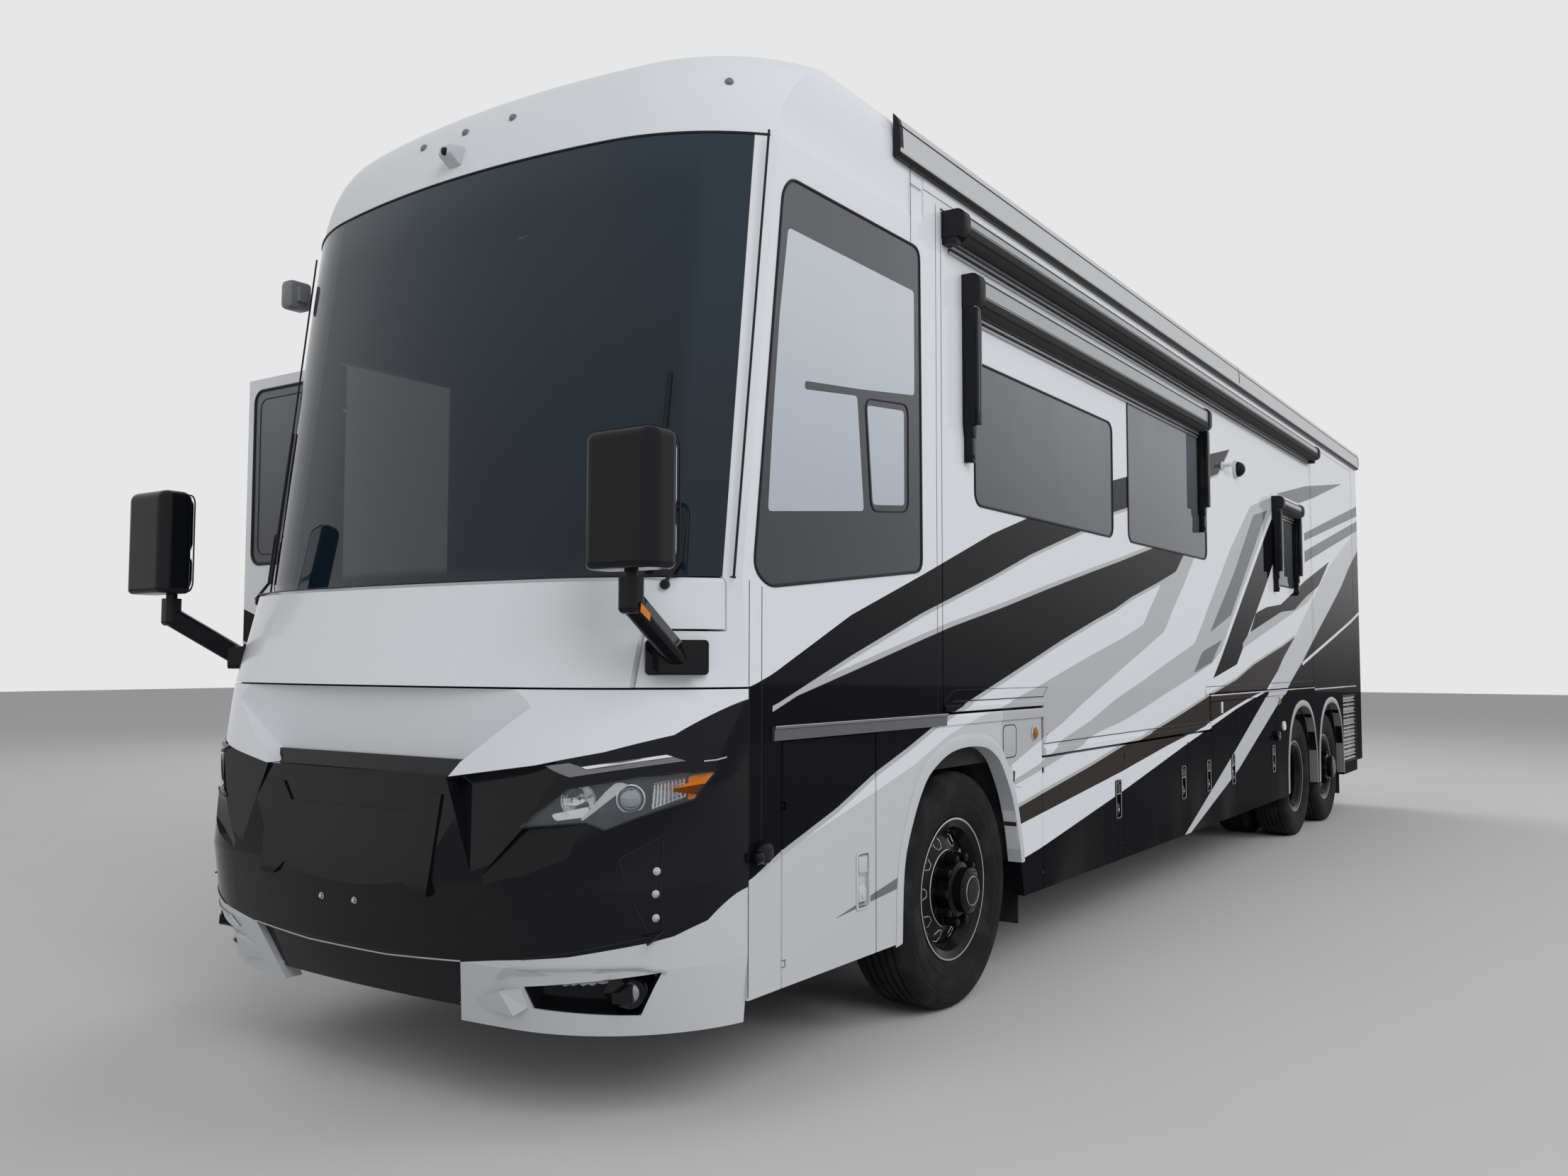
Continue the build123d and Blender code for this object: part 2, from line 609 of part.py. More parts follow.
def lower_side(s):
    """Fixed lower side: the corner post, arches and belt of one side."""
    y = spread(s, inner_y, half_width)
    with BuildPart() as piece:
        block((cross_low[0], 1659), y, (skirt_low, belt))
        side([(x, z) for x, z in arch_front], tuple(sorted((s * 1200, s * 1300))), Mode.SUBTRACT)
        if s > 0:
            opening = (front_bay[0] - 6, front_bay[1] + 6)
            block(opening, (1200, 1300), (300, front_bay[3] + 6), Mode.SUBTRACT)
        else:
            block((door_x[0] - 6, door_x[1] + 6), (-1300, -1200), (300, belt + 10), Mode.SUBTRACT)
        block((rear_seam, -5693), y, (skirt_low, belt))
        for x in (drive_x, tag_x):
            side([(x + dx, z) for dx, z in arch_rear], tuple(sorted((s * 1200, s * 1300))), Mode.SUBTRACT)
        block(grille_box[:2], spread(s, 1200, 1300), grille_box[2:], Mode.SUBTRACT)
        if s > 0:
            block((-5694, -3837), y, (1246, belt))
        else:
            block((-5694, cross_low[0] + 1), y, (1246, belt))
        if s > 0:
            for z in (hinge_low, front_hinge):
                hinge_seat(front_bay[1] - door_gap / 2 - pin_depth, 1, z, 1500)
        else:
            hinge_seat(door_x[1] - 8 - pin_depth, -1, 700, 1500)
    return piece.part


cross_low = (-824, 0)
with BuildPart() as skirts:
    add(lower_side(1))
    add(lower_side(-1))
nodes["skirts"] = skirts.part
with BuildPart() as side_grilles:
    for s in (1, -1):
        y = tuple(sorted((s * 1230, s * 1275)))
        for x in (grille_box[0] + 12, (grille_box[0] + grille_box[1]) / 2, grille_box[1] - 12):
            block((x - 12, x + 12), y, (grille_box[2], grille_box[3]))
        for i in range(11):
            z = grille_box[2] + 30 + i * 60
            block((grille_box[0], grille_box[1]), tuple(sorted((s * 1240, s * 1280))), (z - 8, z + 8))
nodes["side_grilles"] = side_grilles.part

# Bay doors, each hinged at its front edge, with a pocket and paddle for the latch
for rows, s in ((left_bays, 1), (right_bays, -1)):
    for name, x0, x1, z1 in rows:
        seats = (hinge_low, hinge_high) if x1 < 0 else (hinge_low, front_hinge)
        with BuildPart() as bay:
            add(side_door(x0 + door_gap / 2, x1 - door_gap / 2, skirt_low, z1, 50, s, seats))
            z = 690 if x1 > 0 else 740
            block((x0 + 60, x0 + 140), spread(s, 1270, 1300), (z - 100, z + 100), Mode.SUBTRACT)
            block((x0 + 70, x0 + 130), spread(s, 1269, 1281), (z + 20, z + 90))
            block((x0 + 80, x0 + 120), spread(s, 1269, 1279), (z - 90, z - 10))
        nodes[name] = bay.part

# Entry door, open at a right angle to the side, modelled closed and turned on its hinge
door_edge = (door_x[0] + 8, door_x[1] - 8)
door_hinge = (door_edge[1] - pin_depth, pin_depth - half_width)
pane = [(815, 1990), (1385, 1990), (1385, 2850), (815, 2850)]
with BuildPart() as door_shape:
    add(side_door(door_edge[0], door_edge[1], 420, 2910, wall, -1, (700, 1700, 2700)))
    side(pane, (-1300, -1200), Mode.SUBTRACT, 60)
with BuildPart() as door_pane:
    side(pane, (-half_width, -half_width + 20), Mode.ADD, 60)
pivot = Location((door_hinge[0], door_hinge[1], 0))
opened = pivot * Location((0, 0, 0), (0, 0, 90)) * pivot.inverse()
nodes["entry_door"] = opened * door_shape.part
nodes["entry_glass"] = opened * door_pane.part

# Slide-out room: outer wall with the lip, floor, roof and end walls
slide_windows = [(-1885, -81, 2228, 2885), (-3768, -2152, 2228, 3084), (-6440, -5700, 2158, 2770)]
room_depth = 700
lip_outline = [
    (slide_x[0], slide_z[0]), (lip_x[0], slide_z[0]), (lip_x[0], lip_z), (lip_x[1], lip_z),
    (lip_x[1], slide_z[0]), (slide_x[1], slide_z[0]), (slide_x[1], slide_z[1]), (slide_x[0], slide_z[1]),
]
with BuildPart() as slide_room:
    side(lip_outline, (inner_y, half_width))
    block((slide_x[0], slide_x[1]), (inner_y - room_depth, inner_y), (slide_z[0], slide_z[0] + 50))
    block((slide_x[0], slide_x[1]), (inner_y - room_depth, inner_y), (slide_z[1] - 50, slide_z[1]))
    for x in (slide_x[0], slide_x[1] - 50):
        block((x, x + 50), (inner_y - room_depth, inner_y), (slide_z[0], slide_z[1]))
    for x0, x1, z0, z1 in slide_windows:
        side([(x0, z0), (x1, z0), (x1, z1), (x0, z1)], (1200, 1300), Mode.SUBTRACT, 60)
nodes["slide_room"] = slide_room.part
with BuildPart() as slide_glass:
    for x0, x1, z0, z1 in slide_windows:
        side([(x0, z0), (x1, z0), (x1, z1), (x0, z1)], (half_width - 20, half_width), Mode.ADD, 60)
nodes["slide_glass"] = slide_glass.part

# Awnings: slide-out topper and two window awnings on the room, long cases on the roof edges
# front x, rear x, low z and high z of the roller, how far it stands out, low z of its arms (0 for none)
awning_rows = [
    (236, -7110, 3366, 3484, 113, 0),
    (40, -3640, 3103, 3254, 90, 2410),
    (-5690, -6480, 2772, 2885, 95, 2100),
]
cap_width = 60
case_inset = 8
case_corner = 40
arm_width = 50
with BuildPart() as slide_awnings:
    for x1, x0, z0, z1, reach, arm_low in awning_rows:
        lengths = [
            (x0, x0 + cap_width, 0), (x0 + cap_width, x1 - cap_width, case_inset), (x1 - cap_width, x1, 0),
        ]
        for start, end, inset in lengths:
            with BuildSketch(Plane.YZ.offset(start)) as section:
                with Locations((half_width + (reach - inset) / 2, (z0 + z1) / 2)):
                    Rectangle(reach - inset, z1 - z0 - 2 * inset)
                fillet(section.vertices().sort_by(Axis.X)[-2:], case_corner - inset)
            extrude(amount=end - start)
        if arm_low:
            for x in (x0 + cap_width / 2, x1 - cap_width / 2):
                span = (x - arm_width / 2, x + arm_width / 2)
                tip = (x - arm_width / 3, x + arm_width / 3)
                block(span, (half_width, half_width + 66), (arm_low + 170, z0 + 2))
                block(tip, (half_width, half_width + 38), (arm_low, arm_low + 172))
nodes["slide_awnings"] = slide_awnings.part
case_low = 3584
with BuildPart() as roof_awnings:
    for s in (1, -1):
        for start, end, over_roof in ((-9500, rear_seam, False), (rear_seam, cap_back, True), (cap_back, 660, False)):
            with BuildSketch(Plane.YZ.offset(start)):
                with BuildLine():
                    Polyline((s * half_width, roof_side), (s * half_width, case_low), (s * 1300, case_low))
                    ThreePointArc((s * 1300, case_low), (s * 1313, 3597), (s * 1317, 3625))
                    Line((s * 1317, 3625), (s * 1314, roof_side))
                    ThreePointArc((s * 1314, roof_side), (s * 1305, 3738), (s * half_width, 3766))
                    if over_roof:
                        ThreePointArc((s * half_width, 3766), (s * 1252, 3788), (s * edge_y, 3800))
                        Line((s * edge_y, 3800), (s * edge_y, roof_side + edge_radius))
                        roof_edge = [(s * y, z) for y, z in ((edge_y, edge_z), edge_mid)]
                        ThreePointArc(*roof_edge, (s * half_width, roof_side))
                    else:
                        Line((s * half_width, 3766), (s * half_width, roof_side))
                make_face()
            extrude(amount=end - start)
nodes["roof_awnings"] = roof_awnings.part

# Rear cap with rounded corners, engine door and lamps
engine_door_box = (-760, 760, 760, 1700)
lid_pin = (rear_face + pin_depth, engine_door_box[3] - door_gap - pin_depth)
with BuildPart() as rear_cap:
    with BuildSketch(Plane.XY.offset(500)) as plan:
        with Locations((rear_face / 2 + rear_seam / 2, 0)):
            Rectangle(rear_seam - rear_face, half_width * 2)
        fillet(plan.vertices().sort_by(Axis.X)[0:2], 170)
    extrude(amount=roof_top - 20 - 500)
    top_edges = rear_cap.faces().sort_by(Axis.Z)[-1].edges()
    fillet(top_edges.filter_by(lambda e: e.center().X < rear_seam - 1), 110)
    block((rear_face + wall, rear_seam + 10), (-inner_y, inner_y), (400, 3700), Mode.SUBTRACT)
    block((rear_face - 10, rear_face + wall + 10), (-60, 60), (480, 660), Mode.SUBTRACT)
    block((rear_face - 10, rear_face + wall + 10), engine_door_box[:2], engine_door_box[2:], Mode.SUBTRACT)
    for y in (-500, 500):
        rod((lid_pin[0], y, lid_pin[1]), pin_radius, 70)
        rod((lid_pin[0], y, lid_pin[1]), pin_depth, 2 * hinge_half)
        lug_y = (y - hinge_half, y + hinge_half)
        block((rear_face, rear_face + 2 * pin_depth), lug_y, (lid_pin[1], engine_door_box[3] + 2))
nodes["rear_cap"] = rear_cap.part
with BuildPart() as engine_door:
    y = (engine_door_box[0] + door_gap, engine_door_box[1] - door_gap)
    block((rear_face, rear_face + 50), y, (engine_door_box[2] + door_gap, engine_door_box[3] - door_gap))
    top = engine_door.edges().filter_by(Axis.Y).sort_by(lambda e: e.center().Z - e.center().X)[-1]
    fillet(top, pin_depth)
    for y in (-500, 500):
        slot_z = (lid_pin[1] - 14, engine_door_box[3])
        block((rear_face - 1, rear_face + 60), (y - 14, y + 14), slot_z, Mode.SUBTRACT)
        rod((lid_pin[0], y, lid_pin[1]), pin_radius + pin_fit, 80, "y", Mode.SUBTRACT)
nodes["engine_door"] = engine_door.part
with BuildPart() as tail_lamps:
    for s in (1, -1):
        block((rear_face - 25, rear_face), tuple(sorted((s * 960, s * 1080))), (1100, 1700))
        block((rear_face - 20, rear_face), tuple(sorted((s * 960, s * 1080))), (3560, 3610))
nodes["tail_lamps"] = tail_lamps.part

# Mirrors on arms from the corners of the nose panel


foot_ends = [(1969, 1089), (1814, 1227)]
foot_z = (1474, 1588)
elbow = (2220, 1250, 1700)


def mirror(s):
    """Mirror head, neck, arm and foot of one side."""
    (ax, ay), (bx, by) = foot_ends
    along = Vector(ax - bx, s * (ay - by), 0)
    middle = Vector((ax + bx) / 2, s * (ay + by) / 2, sum(foot_z) / 2)
    outward = Vector(by - ay, s * (ax - bx), 0).normalized()
    with BuildPart() as piece:
        block((2190, 2330), spread(s, 1140, 1420), (1790, 2210))
        fillet(piece.edges().filter_by(Axis.Z), 45)
        fillet(piece.faces().sort_by(Axis.Z)[-1].edges(), 38)
        fillet(piece.faces().sort_by(Axis.Z)[0].edges(), 20)
        rod((elbow[0], s * elbow[1], 1745), 22, 110, "z")
        with BuildPart(mode=Mode.PRIVATE) as knuckle:
            block((2188, 2252), spread(s, 1216, 1284), (1660, 1772))
            fillet(knuckle.edges().filter_by(Axis.Z), 20)
            fillet(knuckle.faces().sort_by(Axis.Z)[0].edges(), 18)
        add(knuckle.part)
        with BuildPart(mode=Mode.PRIVATE) as arm:
            direction = middle + outward * 60 - Vector(elbow[0], s * elbow[1], elbow[2])
            with BuildSketch(Plane((elbow[0], s * elbow[1], elbow[2]), x_dir=along, z_dir=direction)):
                RectangleRounded(62, 78, 18)
            extrude(amount=direction.length)
        add(arm.part)
        with BuildPart(mode=Mode.PRIVATE) as foot:
            plane = Plane(origin=middle, x_dir=along, z_dir=outward)
            with BuildSketch(plane.offset(-60)):
                RectangleRounded(along.length, foot_z[1] - foot_z[0], 14)
            extrude(amount=60 + 24)
            with BuildSketch(plane):
                RectangleRounded(along.length * 0.68, (foot_z[1] - foot_z[0]) * 0.84, 16)
            extrude(amount=95)
        add(foot.part)
        add(nose_body(cap_rows, 1300, 0, arc=4200, y_flat=750), mode=Mode.SUBTRACT)
    return piece.part


nodes["mirror_left"] = mirror(1)
nodes["mirror_right"] = mirror(-1)

# Cab furniture seen through the glass
dash_half = inner_y - seat_gap
with BuildPart() as dashboard:
    add(nose_body([(floor_z[1], 1960, 1480, dash_half), (1700, 1890, 1480, dash_half)], 1330, 0, y_flat=650))
    for y in ((330, 910), (-900, -120)):
        block((1300, 1640), y, (floor_z[1] - 1, 1480), Mode.SUBTRACT)
    block((1300, 1500), (-1300, -700), (floor_z[1] - 1, 1800), Mode.SUBTRACT)
nodes["dashboard"] = dashboard.part
with BuildPart() as steering_wheel:
    with Locations(Location((1270, 620, 1800), (0, -55, 0))):
        Torus(225, 17)
        Box(440, 40, 20)
        Cylinder(50, 40)
    with Locations(Location((1350, 620, 1744), (0, -55, 0))):
        Cylinder(25, 200)
    add(dashboard.part, mode=Mode.SUBTRACT)
nodes["steering_wheel"] = steering_wheel.part
with BuildPart() as cab_seats:
    for y in (620, -420):
        block((450, 960), (y - 260, y + 260), (1480, 1620))
        block((380, 500), (y - 260, y + 260), (1560, 2260))
        block((560, 820), (y - 150, y + 150), (1120, 1480))
nodes["cab_seats"] = cab_seats.part
with BuildPart() as mud_flaps:
    for s in (1, -1):
        block((-680, -670), tuple(sorted((s * 940, s * 1215))), (250, 1060))
        block((-8600, -8590), tuple(sorted((s * 760, s * 1215))), (200, 1060))
nodes["mud_flaps"] = mud_flaps.part

# Middle of the footprint becomes the origin
box = Compound(children=[Compound(p.solids()) for p in nodes.values()]).bounding_box()
middle = Location((-(box.min.X + box.max.X) / 2, -(box.min.Y + box.max.Y) / 2, 0))
print("origin shift", middle.position)
for name, part in nodes.items():
    shape = middle * part
    shape.label = name
    export_step(shape, f"parts/{name}.step")
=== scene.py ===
"""Dresses a packed motorhome: paint, glass, lamps, tyres, awnings and trim, with camera and light."""
from __future__ import annotations

import json
import logging
import math
from dataclasses import dataclass
from enum import Enum
from typing import Any, Iterable, Sequence, Union

import bmesh
import bpy
from mathutils import Matrix, Vector
from mathutils.bvhtree import BVHTree

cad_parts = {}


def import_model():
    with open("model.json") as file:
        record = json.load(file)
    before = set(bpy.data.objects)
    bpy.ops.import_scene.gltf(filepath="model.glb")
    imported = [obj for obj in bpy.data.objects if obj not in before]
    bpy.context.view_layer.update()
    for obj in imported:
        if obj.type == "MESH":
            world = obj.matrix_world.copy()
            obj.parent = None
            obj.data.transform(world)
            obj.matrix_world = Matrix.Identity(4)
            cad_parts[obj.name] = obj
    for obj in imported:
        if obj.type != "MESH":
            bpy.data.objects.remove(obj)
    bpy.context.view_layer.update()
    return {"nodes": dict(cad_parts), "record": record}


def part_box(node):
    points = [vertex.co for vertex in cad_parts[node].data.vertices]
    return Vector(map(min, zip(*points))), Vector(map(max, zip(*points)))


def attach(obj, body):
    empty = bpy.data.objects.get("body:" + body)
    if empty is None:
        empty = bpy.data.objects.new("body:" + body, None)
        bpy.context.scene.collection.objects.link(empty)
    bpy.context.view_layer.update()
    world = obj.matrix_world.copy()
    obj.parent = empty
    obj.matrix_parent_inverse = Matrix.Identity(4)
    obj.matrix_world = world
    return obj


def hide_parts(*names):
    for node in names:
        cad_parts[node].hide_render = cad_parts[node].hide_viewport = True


LOG = logging.getLogger("motorhome")

Colour = tuple[float, float, float]
Point = tuple[float, float, float]
Outline = tuple[tuple[float, float], ...]
Rows = Sequence[tuple[float, ...]]


# Shader expressions


class Wire:
    """A socket of a shader graph, with the arithmetic that finishes are written in."""

    def __init__(self, graph: "Graph", socket: bpy.types.NodeSocket) -> None:
        """Wraps one output socket.

        Args:
            graph: The graph that the socket belongs to.
            socket: The output socket.
        """
        self.graph = graph
        self.socket = socket

    def math(self, operation: str, *others: "Value") -> "Wire":
        """Adds a Math node with this wire as its first value.

        Args:
            operation: The Math node's operation.
            others: Its second and third values.

        Returns:
            The node's result.
        """
        values = {place: value for place, value in enumerate((self, *others))}
        made = self.graph.node("ShaderNodeMath", {"operation": operation}, values)
        return Wire(self.graph, made.outputs[0])

    def __add__(self, other: "Value") -> "Wire":
        """This plus another."""
        return self.math("ADD", other)

    def __mul__(self, other: "Value") -> "Wire":
        """This times another."""
        return self.math("MULTIPLY", other)

    def __sub__(self, other: "Value") -> "Wire":
        """This less another."""
        return self.math("SUBTRACT", other)

    def __truediv__(self, other: "Value") -> "Wire":
        """This over another."""
        return self.math("DIVIDE", other)

    def __gt__(self, other: "Value") -> "Wire":
        """1 where this is larger, else 0."""
        return self.math("GREATER_THAN", other)

    def __lt__(self, other: "Value") -> "Wire":
        """1 where this is smaller, else 0."""
        return self.math("LESS_THAN", other)

    def size(self) -> "Wire":
        """This without its sign."""
        return self.math("ABSOLUTE")

    def between(self, low: "Value", high: "Value") -> "Wire":
        """1 where this lies between two limits, else 0."""
        return (self > low) * (self < high)

    def ramp(self, low: float, high: float) -> "Wire":
        """A smooth rise from 0 at low to 1 at high, or a fall where low is the larger.

        Args:
            low: The value that gives 0.
            high: The value that gives 1.

        Returns:
            The smooth step.
        """
        made = self.graph.node(
            "ShaderNodeMapRange",
            {"interpolation_type": "SMOOTHSTEP"},
            {"Value": self, "From Min": low, "From Max": high},
        )
        return Wire(self.graph, made.outputs[0])


Value = Union[Wire, float]
Paint = Union[Wire, Colour]


class Graph:
    """The node graph of one material, or of the world."""

    def __init__(self, name: str, world: bpy.types.World | None = None) -> None:
        """Starts an empty graph.

        Args:
            name: The name of the new material.
            world: The world whose graph it is, in place of a material's.
        """
        self.owner = world or bpy.data.materials.new(name)
        self.owner.use_nodes = True
        self.tree = self.owner.node_tree
        self.tree.nodes.clear()

    def node(self, kind: str, settings: dict[str, Any], inputs: dict[Any, Any]) -> bpy.types.Node:
        """Adds any node: settings first, then the values or links of its sockets.

        Args:
            kind: The node's type.
            settings: Its properties, where "points" holds a curve's points.
            inputs: Values or wires by socket name or index.

        Returns:
            The new node.
        """
        made = self.tree.nodes.new(kind)
        for name, value in settings.items():
            if name == "points":
                self._set_points(made.mapping, value)
            else:
                setattr(made, name, value)
        for key, value in inputs.items():
            socket = made.inputs[key]
            if isinstance(value, Wire):
                self.tree.links.new(value.socket, socket)
            elif isinstance(value, bpy.types.NodeSocket):
                self.tree.links.new(value, socket)
            elif socket.type == "RGBA" and len(value) == 3:
                socket.default_value = (*value, 1.0)
            else:
                socket.default_value = value
        return made

    @staticmethod
    def _set_points(mapping: bpy.types.CurveMapping, points: Sequence[tuple[float, float]]) -> None:
        """Gives a float curve its points, joined by straight lines.

        Args:
            mapping: The curve's mapping.
            points: Points with both values between 0 and 1, in rising order.
        """
        curve = mapping.curves[0]
        while len(curve.points) > 2:
            curve.points.remove(curve.points[1])
        for count, place in enumerate(points):
            if count < 2:
                curve.points[count].location = place
            else:
                curve.points.new(*place)
        for point in curve.points:
            point.handle_type = "VECTOR"
        mapping.update()

    def wire(self, kind: str, settings: dict[str, Any], inputs: dict[Any, Any], out: Any = 0) -> Wire:
        """Adds a node and wraps one of its outputs.

        Args:
            kind: The node's type.
            settings: Its properties.
            inputs: Values or wires of its sockets.
            out: The output's name or index.

        Returns:
            The wrapped output.
        """
        return Wire(self, self.node(kind, settings, inputs).outputs[out])

    def place(self) -> Wire:
        """The point in the model's own frame, which rides with its piece."""
        return self.wire("ShaderNodeTexCoord", {}, {}, "Object")

    def axes(self, place: Wire | None = None) -> tuple[Wire, Wire, Wire]:
        """Splits a point into x, y and z.

        Args:
            place: The point, or none for the model's own.

        Returns:
            The three wires.
        """
        split = self.node("ShaderNodeSeparateXYZ", {}, {0: place or self.place()})
        return Wire(self, split.outputs[0]), Wire(self, split.outputs[1]), Wire(self, split.outputs[2])

    def noise(self, scale: float, detail: float = 2.0, stretch: Point = (1.0, 1.0, 1.0)) -> Wire:
        """Soft noise between 0 and 1.

        Args:
            scale: Repeats in a metre.
            detail: The number of octaves.
            stretch: Factors on the point's axes.

        Returns:
            The noise.
        """
        point = self.wire("ShaderNodeVectorMath", {"operation": "MULTIPLY"}, {0: self.place(), 1: stretch})
        return self.wire("ShaderNodeTexNoise", {}, {"Vector": point, "Scale": scale, "Detail": detail}, 0)

    def blend(self, factor: Value, low: Paint, high: Paint) -> Wire:
        """Mixes two colours.

        Args:
            factor: 0 for the first, 1 for the second.
            low: The first colour.
            high: The second colour.

        Returns:
            The mixed colour.
        """
        made = self.node("ShaderNodeMix", {"data_type": "RGBA"}, {0: factor, 6: low, 7: high})
        return Wire(self, made.outputs[2])

    def bump(self, height: Wire, strength: float, depth: float) -> Wire:
        """Turns a height into a normal.

        Args:
            height: The height, 0 to 1.
            strength: How much of it shows.
            depth: Metres from 0 to 1.

        Returns:
            The normal.
        """
        return self.wire("ShaderNodeBump", {}, {"Strength": strength, "Distance": depth, "Height": height})

    def surface(self, inputs: dict[str, Any]) -> bpy.types.Material:
        """Ends the graph in a Principled surface.

        Args:
            inputs: Values or wires of the shader's sockets.

        Returns:
            The finished material.
        """
        shader = self.node("ShaderNodeBsdfPrincipled", {}, inputs)
        self.node("ShaderNodeOutputMaterial", {}, {0: shader.outputs[0]})
        return self.owner


# Finishes


class Tint(Enum):
    """The paints of the coach's stripes."""

    PEARL = (0.70, 0.722, 0.760)
    SILVER = (0.45, 0.46, 0.475)
    FROST = (0.54, 0.555, 0.58)
    SLATE = (0.17, 0.18, 0.195)
    BRONZE = (0.040, 0.034, 0.032)
    BLACK = (0.006, 0.0065, 0.008)


@dataclass(frozen=True)
class Band:
    """One stripe of the paint, between two edges given as rows of x and height, rear to front or back."""

    tint: Tint
    top: Outline
    bottom: Outline

    def reach(self) -> tuple[float, float]:
        """The stretch along the coach that both edges cover."""
        ends = [sorted(x for x, _ in edge) for edge in (self.top, self.bottom)]
        return max(ends[0][0], ends[1][0]), min(ends[0][-1], ends[1][-1])


def shifted(edge: Outline, rise: float) -> Outline:
    """An edge moved up by a distance."""
    return tuple((x, z + rise) for x, z in edge)


LOW = 0.25
UPPER_TOP: Outline = (
    (1.80, 1.43), (1.66, 1.43), (1.52, 1.475), (1.0, 1.694), (0.43, 1.878), (-0.27, 2.112),
    (-1.88, 2.553), (-4.0, 3.007), (-4.42, 3.093),
)
UPPER_LOW: Outline = (
    (1.80, 1.36), (1.52, 1.363), (1.0, 1.54), (0.43, 1.72), (0.19, 1.786), (-0.265, 1.913),
    (-0.7, 2.043), (-1.42, 2.228), (-1.88, 2.37), (-2.12, 2.42), (-4.1, 2.87), (-4.42, 3.093),
)
LOWER_TOP: Outline = (
    (1.80, 1.43), (1.66, 1.43), (1.52, 1.363), (1.0, 1.479), (0.434, 1.608), (0.17, 1.667),
    (-0.4, 1.777), (-0.9, 1.881), (-1.5, 2.001), (-2.0, 2.098), (-2.65, 2.23), (-3.25, 2.36),
)
LOWER_LOW: Outline = (
    (1.80, 0.787), (1.661, 0.787), (1.466, 0.867), (1.105, 0.978), (0.818, 1.09), (0.56, 1.169),
    (0.207, 1.288), (-0.4, 1.445), (-0.8, 1.55), (-1.1, 1.629), (-1.6, 1.75), (-1.9, 1.817),
    (-2.2, 1.901), (-2.7, 2.013), (-3.067, 2.103), (-3.25, 2.23),
)
SPEAR_LOW: Outline = (
    (1.376, 0.876), (0.818, 1.015), (0.509, 1.094), (0.2, 1.2), (-0.1, 1.271), (-0.4, 1.32),
    (-0.8, 1.399), (-1.0, 1.443), (-1.5, 1.55), (-2.0, 1.649), (-2.405, 1.743), (-2.498, 1.821),
    (-2.637, 1.92), (-2.742, 1.998),
)
HAZE_LOW: Outline = (
    (-0.35, 1.0), (-0.8, 1.126), (-1.1, 1.203), (-1.4, 1.30), (-1.9, 1.445), (-2.3, 1.562),
    (-2.8, 1.707), (-2.9, 1.78), (-3.0, 1.862), (-3.2, 2.001), (-3.492, 2.23),
)
SWEEP_TOP: Outline = (
    (-0.47, 0.955), (-0.8, 1.015), (-1.1, 1.12), (-1.5, 1.20), (-1.9, 1.306), (-2.4, 1.41),
    (-2.8, 1.501), (-3.3, 1.608), (-3.45, 1.643), (-3.6, 1.745), (-3.8, 1.902), (-4.1, 2.123),
    (-4.38, 2.338), (-5.0, 2.73), (-5.72, 2.88),
)
RAY_TOP: Outline = (
    (-3.89, 1.407), (-4.1, 1.548), (-4.44, 1.798), (-5.51, 2.577), (-5.7, 2.705), (-5.79, 2.402),
)
SWEEP_LOW: Outline = (
    (-0.47, 0.93), (-0.8, 0.98), (-1.2, 1.048), (-1.6, 1.131), (-2.0, 1.176), (-2.4, 1.242),
    (-2.8, 1.317), (-3.4, 1.42), (-3.87, 1.51), (-4.1, 1.60), (-4.44, 1.86), (-5.51, 2.64),
    (-5.72, 2.78),
)
KEEL_TOP: Outline = (
    (-0.5, 0.82), (-0.82, 0.865), (-1.5, 0.957), (-2.0, 1.034), (-2.3, 1.06), (-2.8, 1.129),
    (-3.2, 1.19), (-3.8, 1.286), (-4.5, 1.387), (-5.0, 1.495), (-5.51, 1.577), (-6.0, 1.653),
    (-6.44, 1.735),
)
BLADE_TOP: Outline = (
    (-3.112, 0.379), (-4.419, 0.865), (-5.358, 1.231), (-5.79, 1.444), (-6.0, 1.553),
    (-6.44, 1.735), (-6.95, 1.98), (-8.0, 2.45), (-9.5, 2.95), (-9.75, 3.03),
)
TAIL_TOP: Outline = (
    (-6.7, 1.514), (-7.41, 1.81), (-7.93, 2.017), (-8.52, 2.259), (-9.0, 2.5), (-9.52, 2.724),
    (-9.75, 2.82),
)
PIN: Outline = ((-6.72, 1.517), (-8.1, 1.776), (-9.0, 1.948), (-9.75, 2.11))

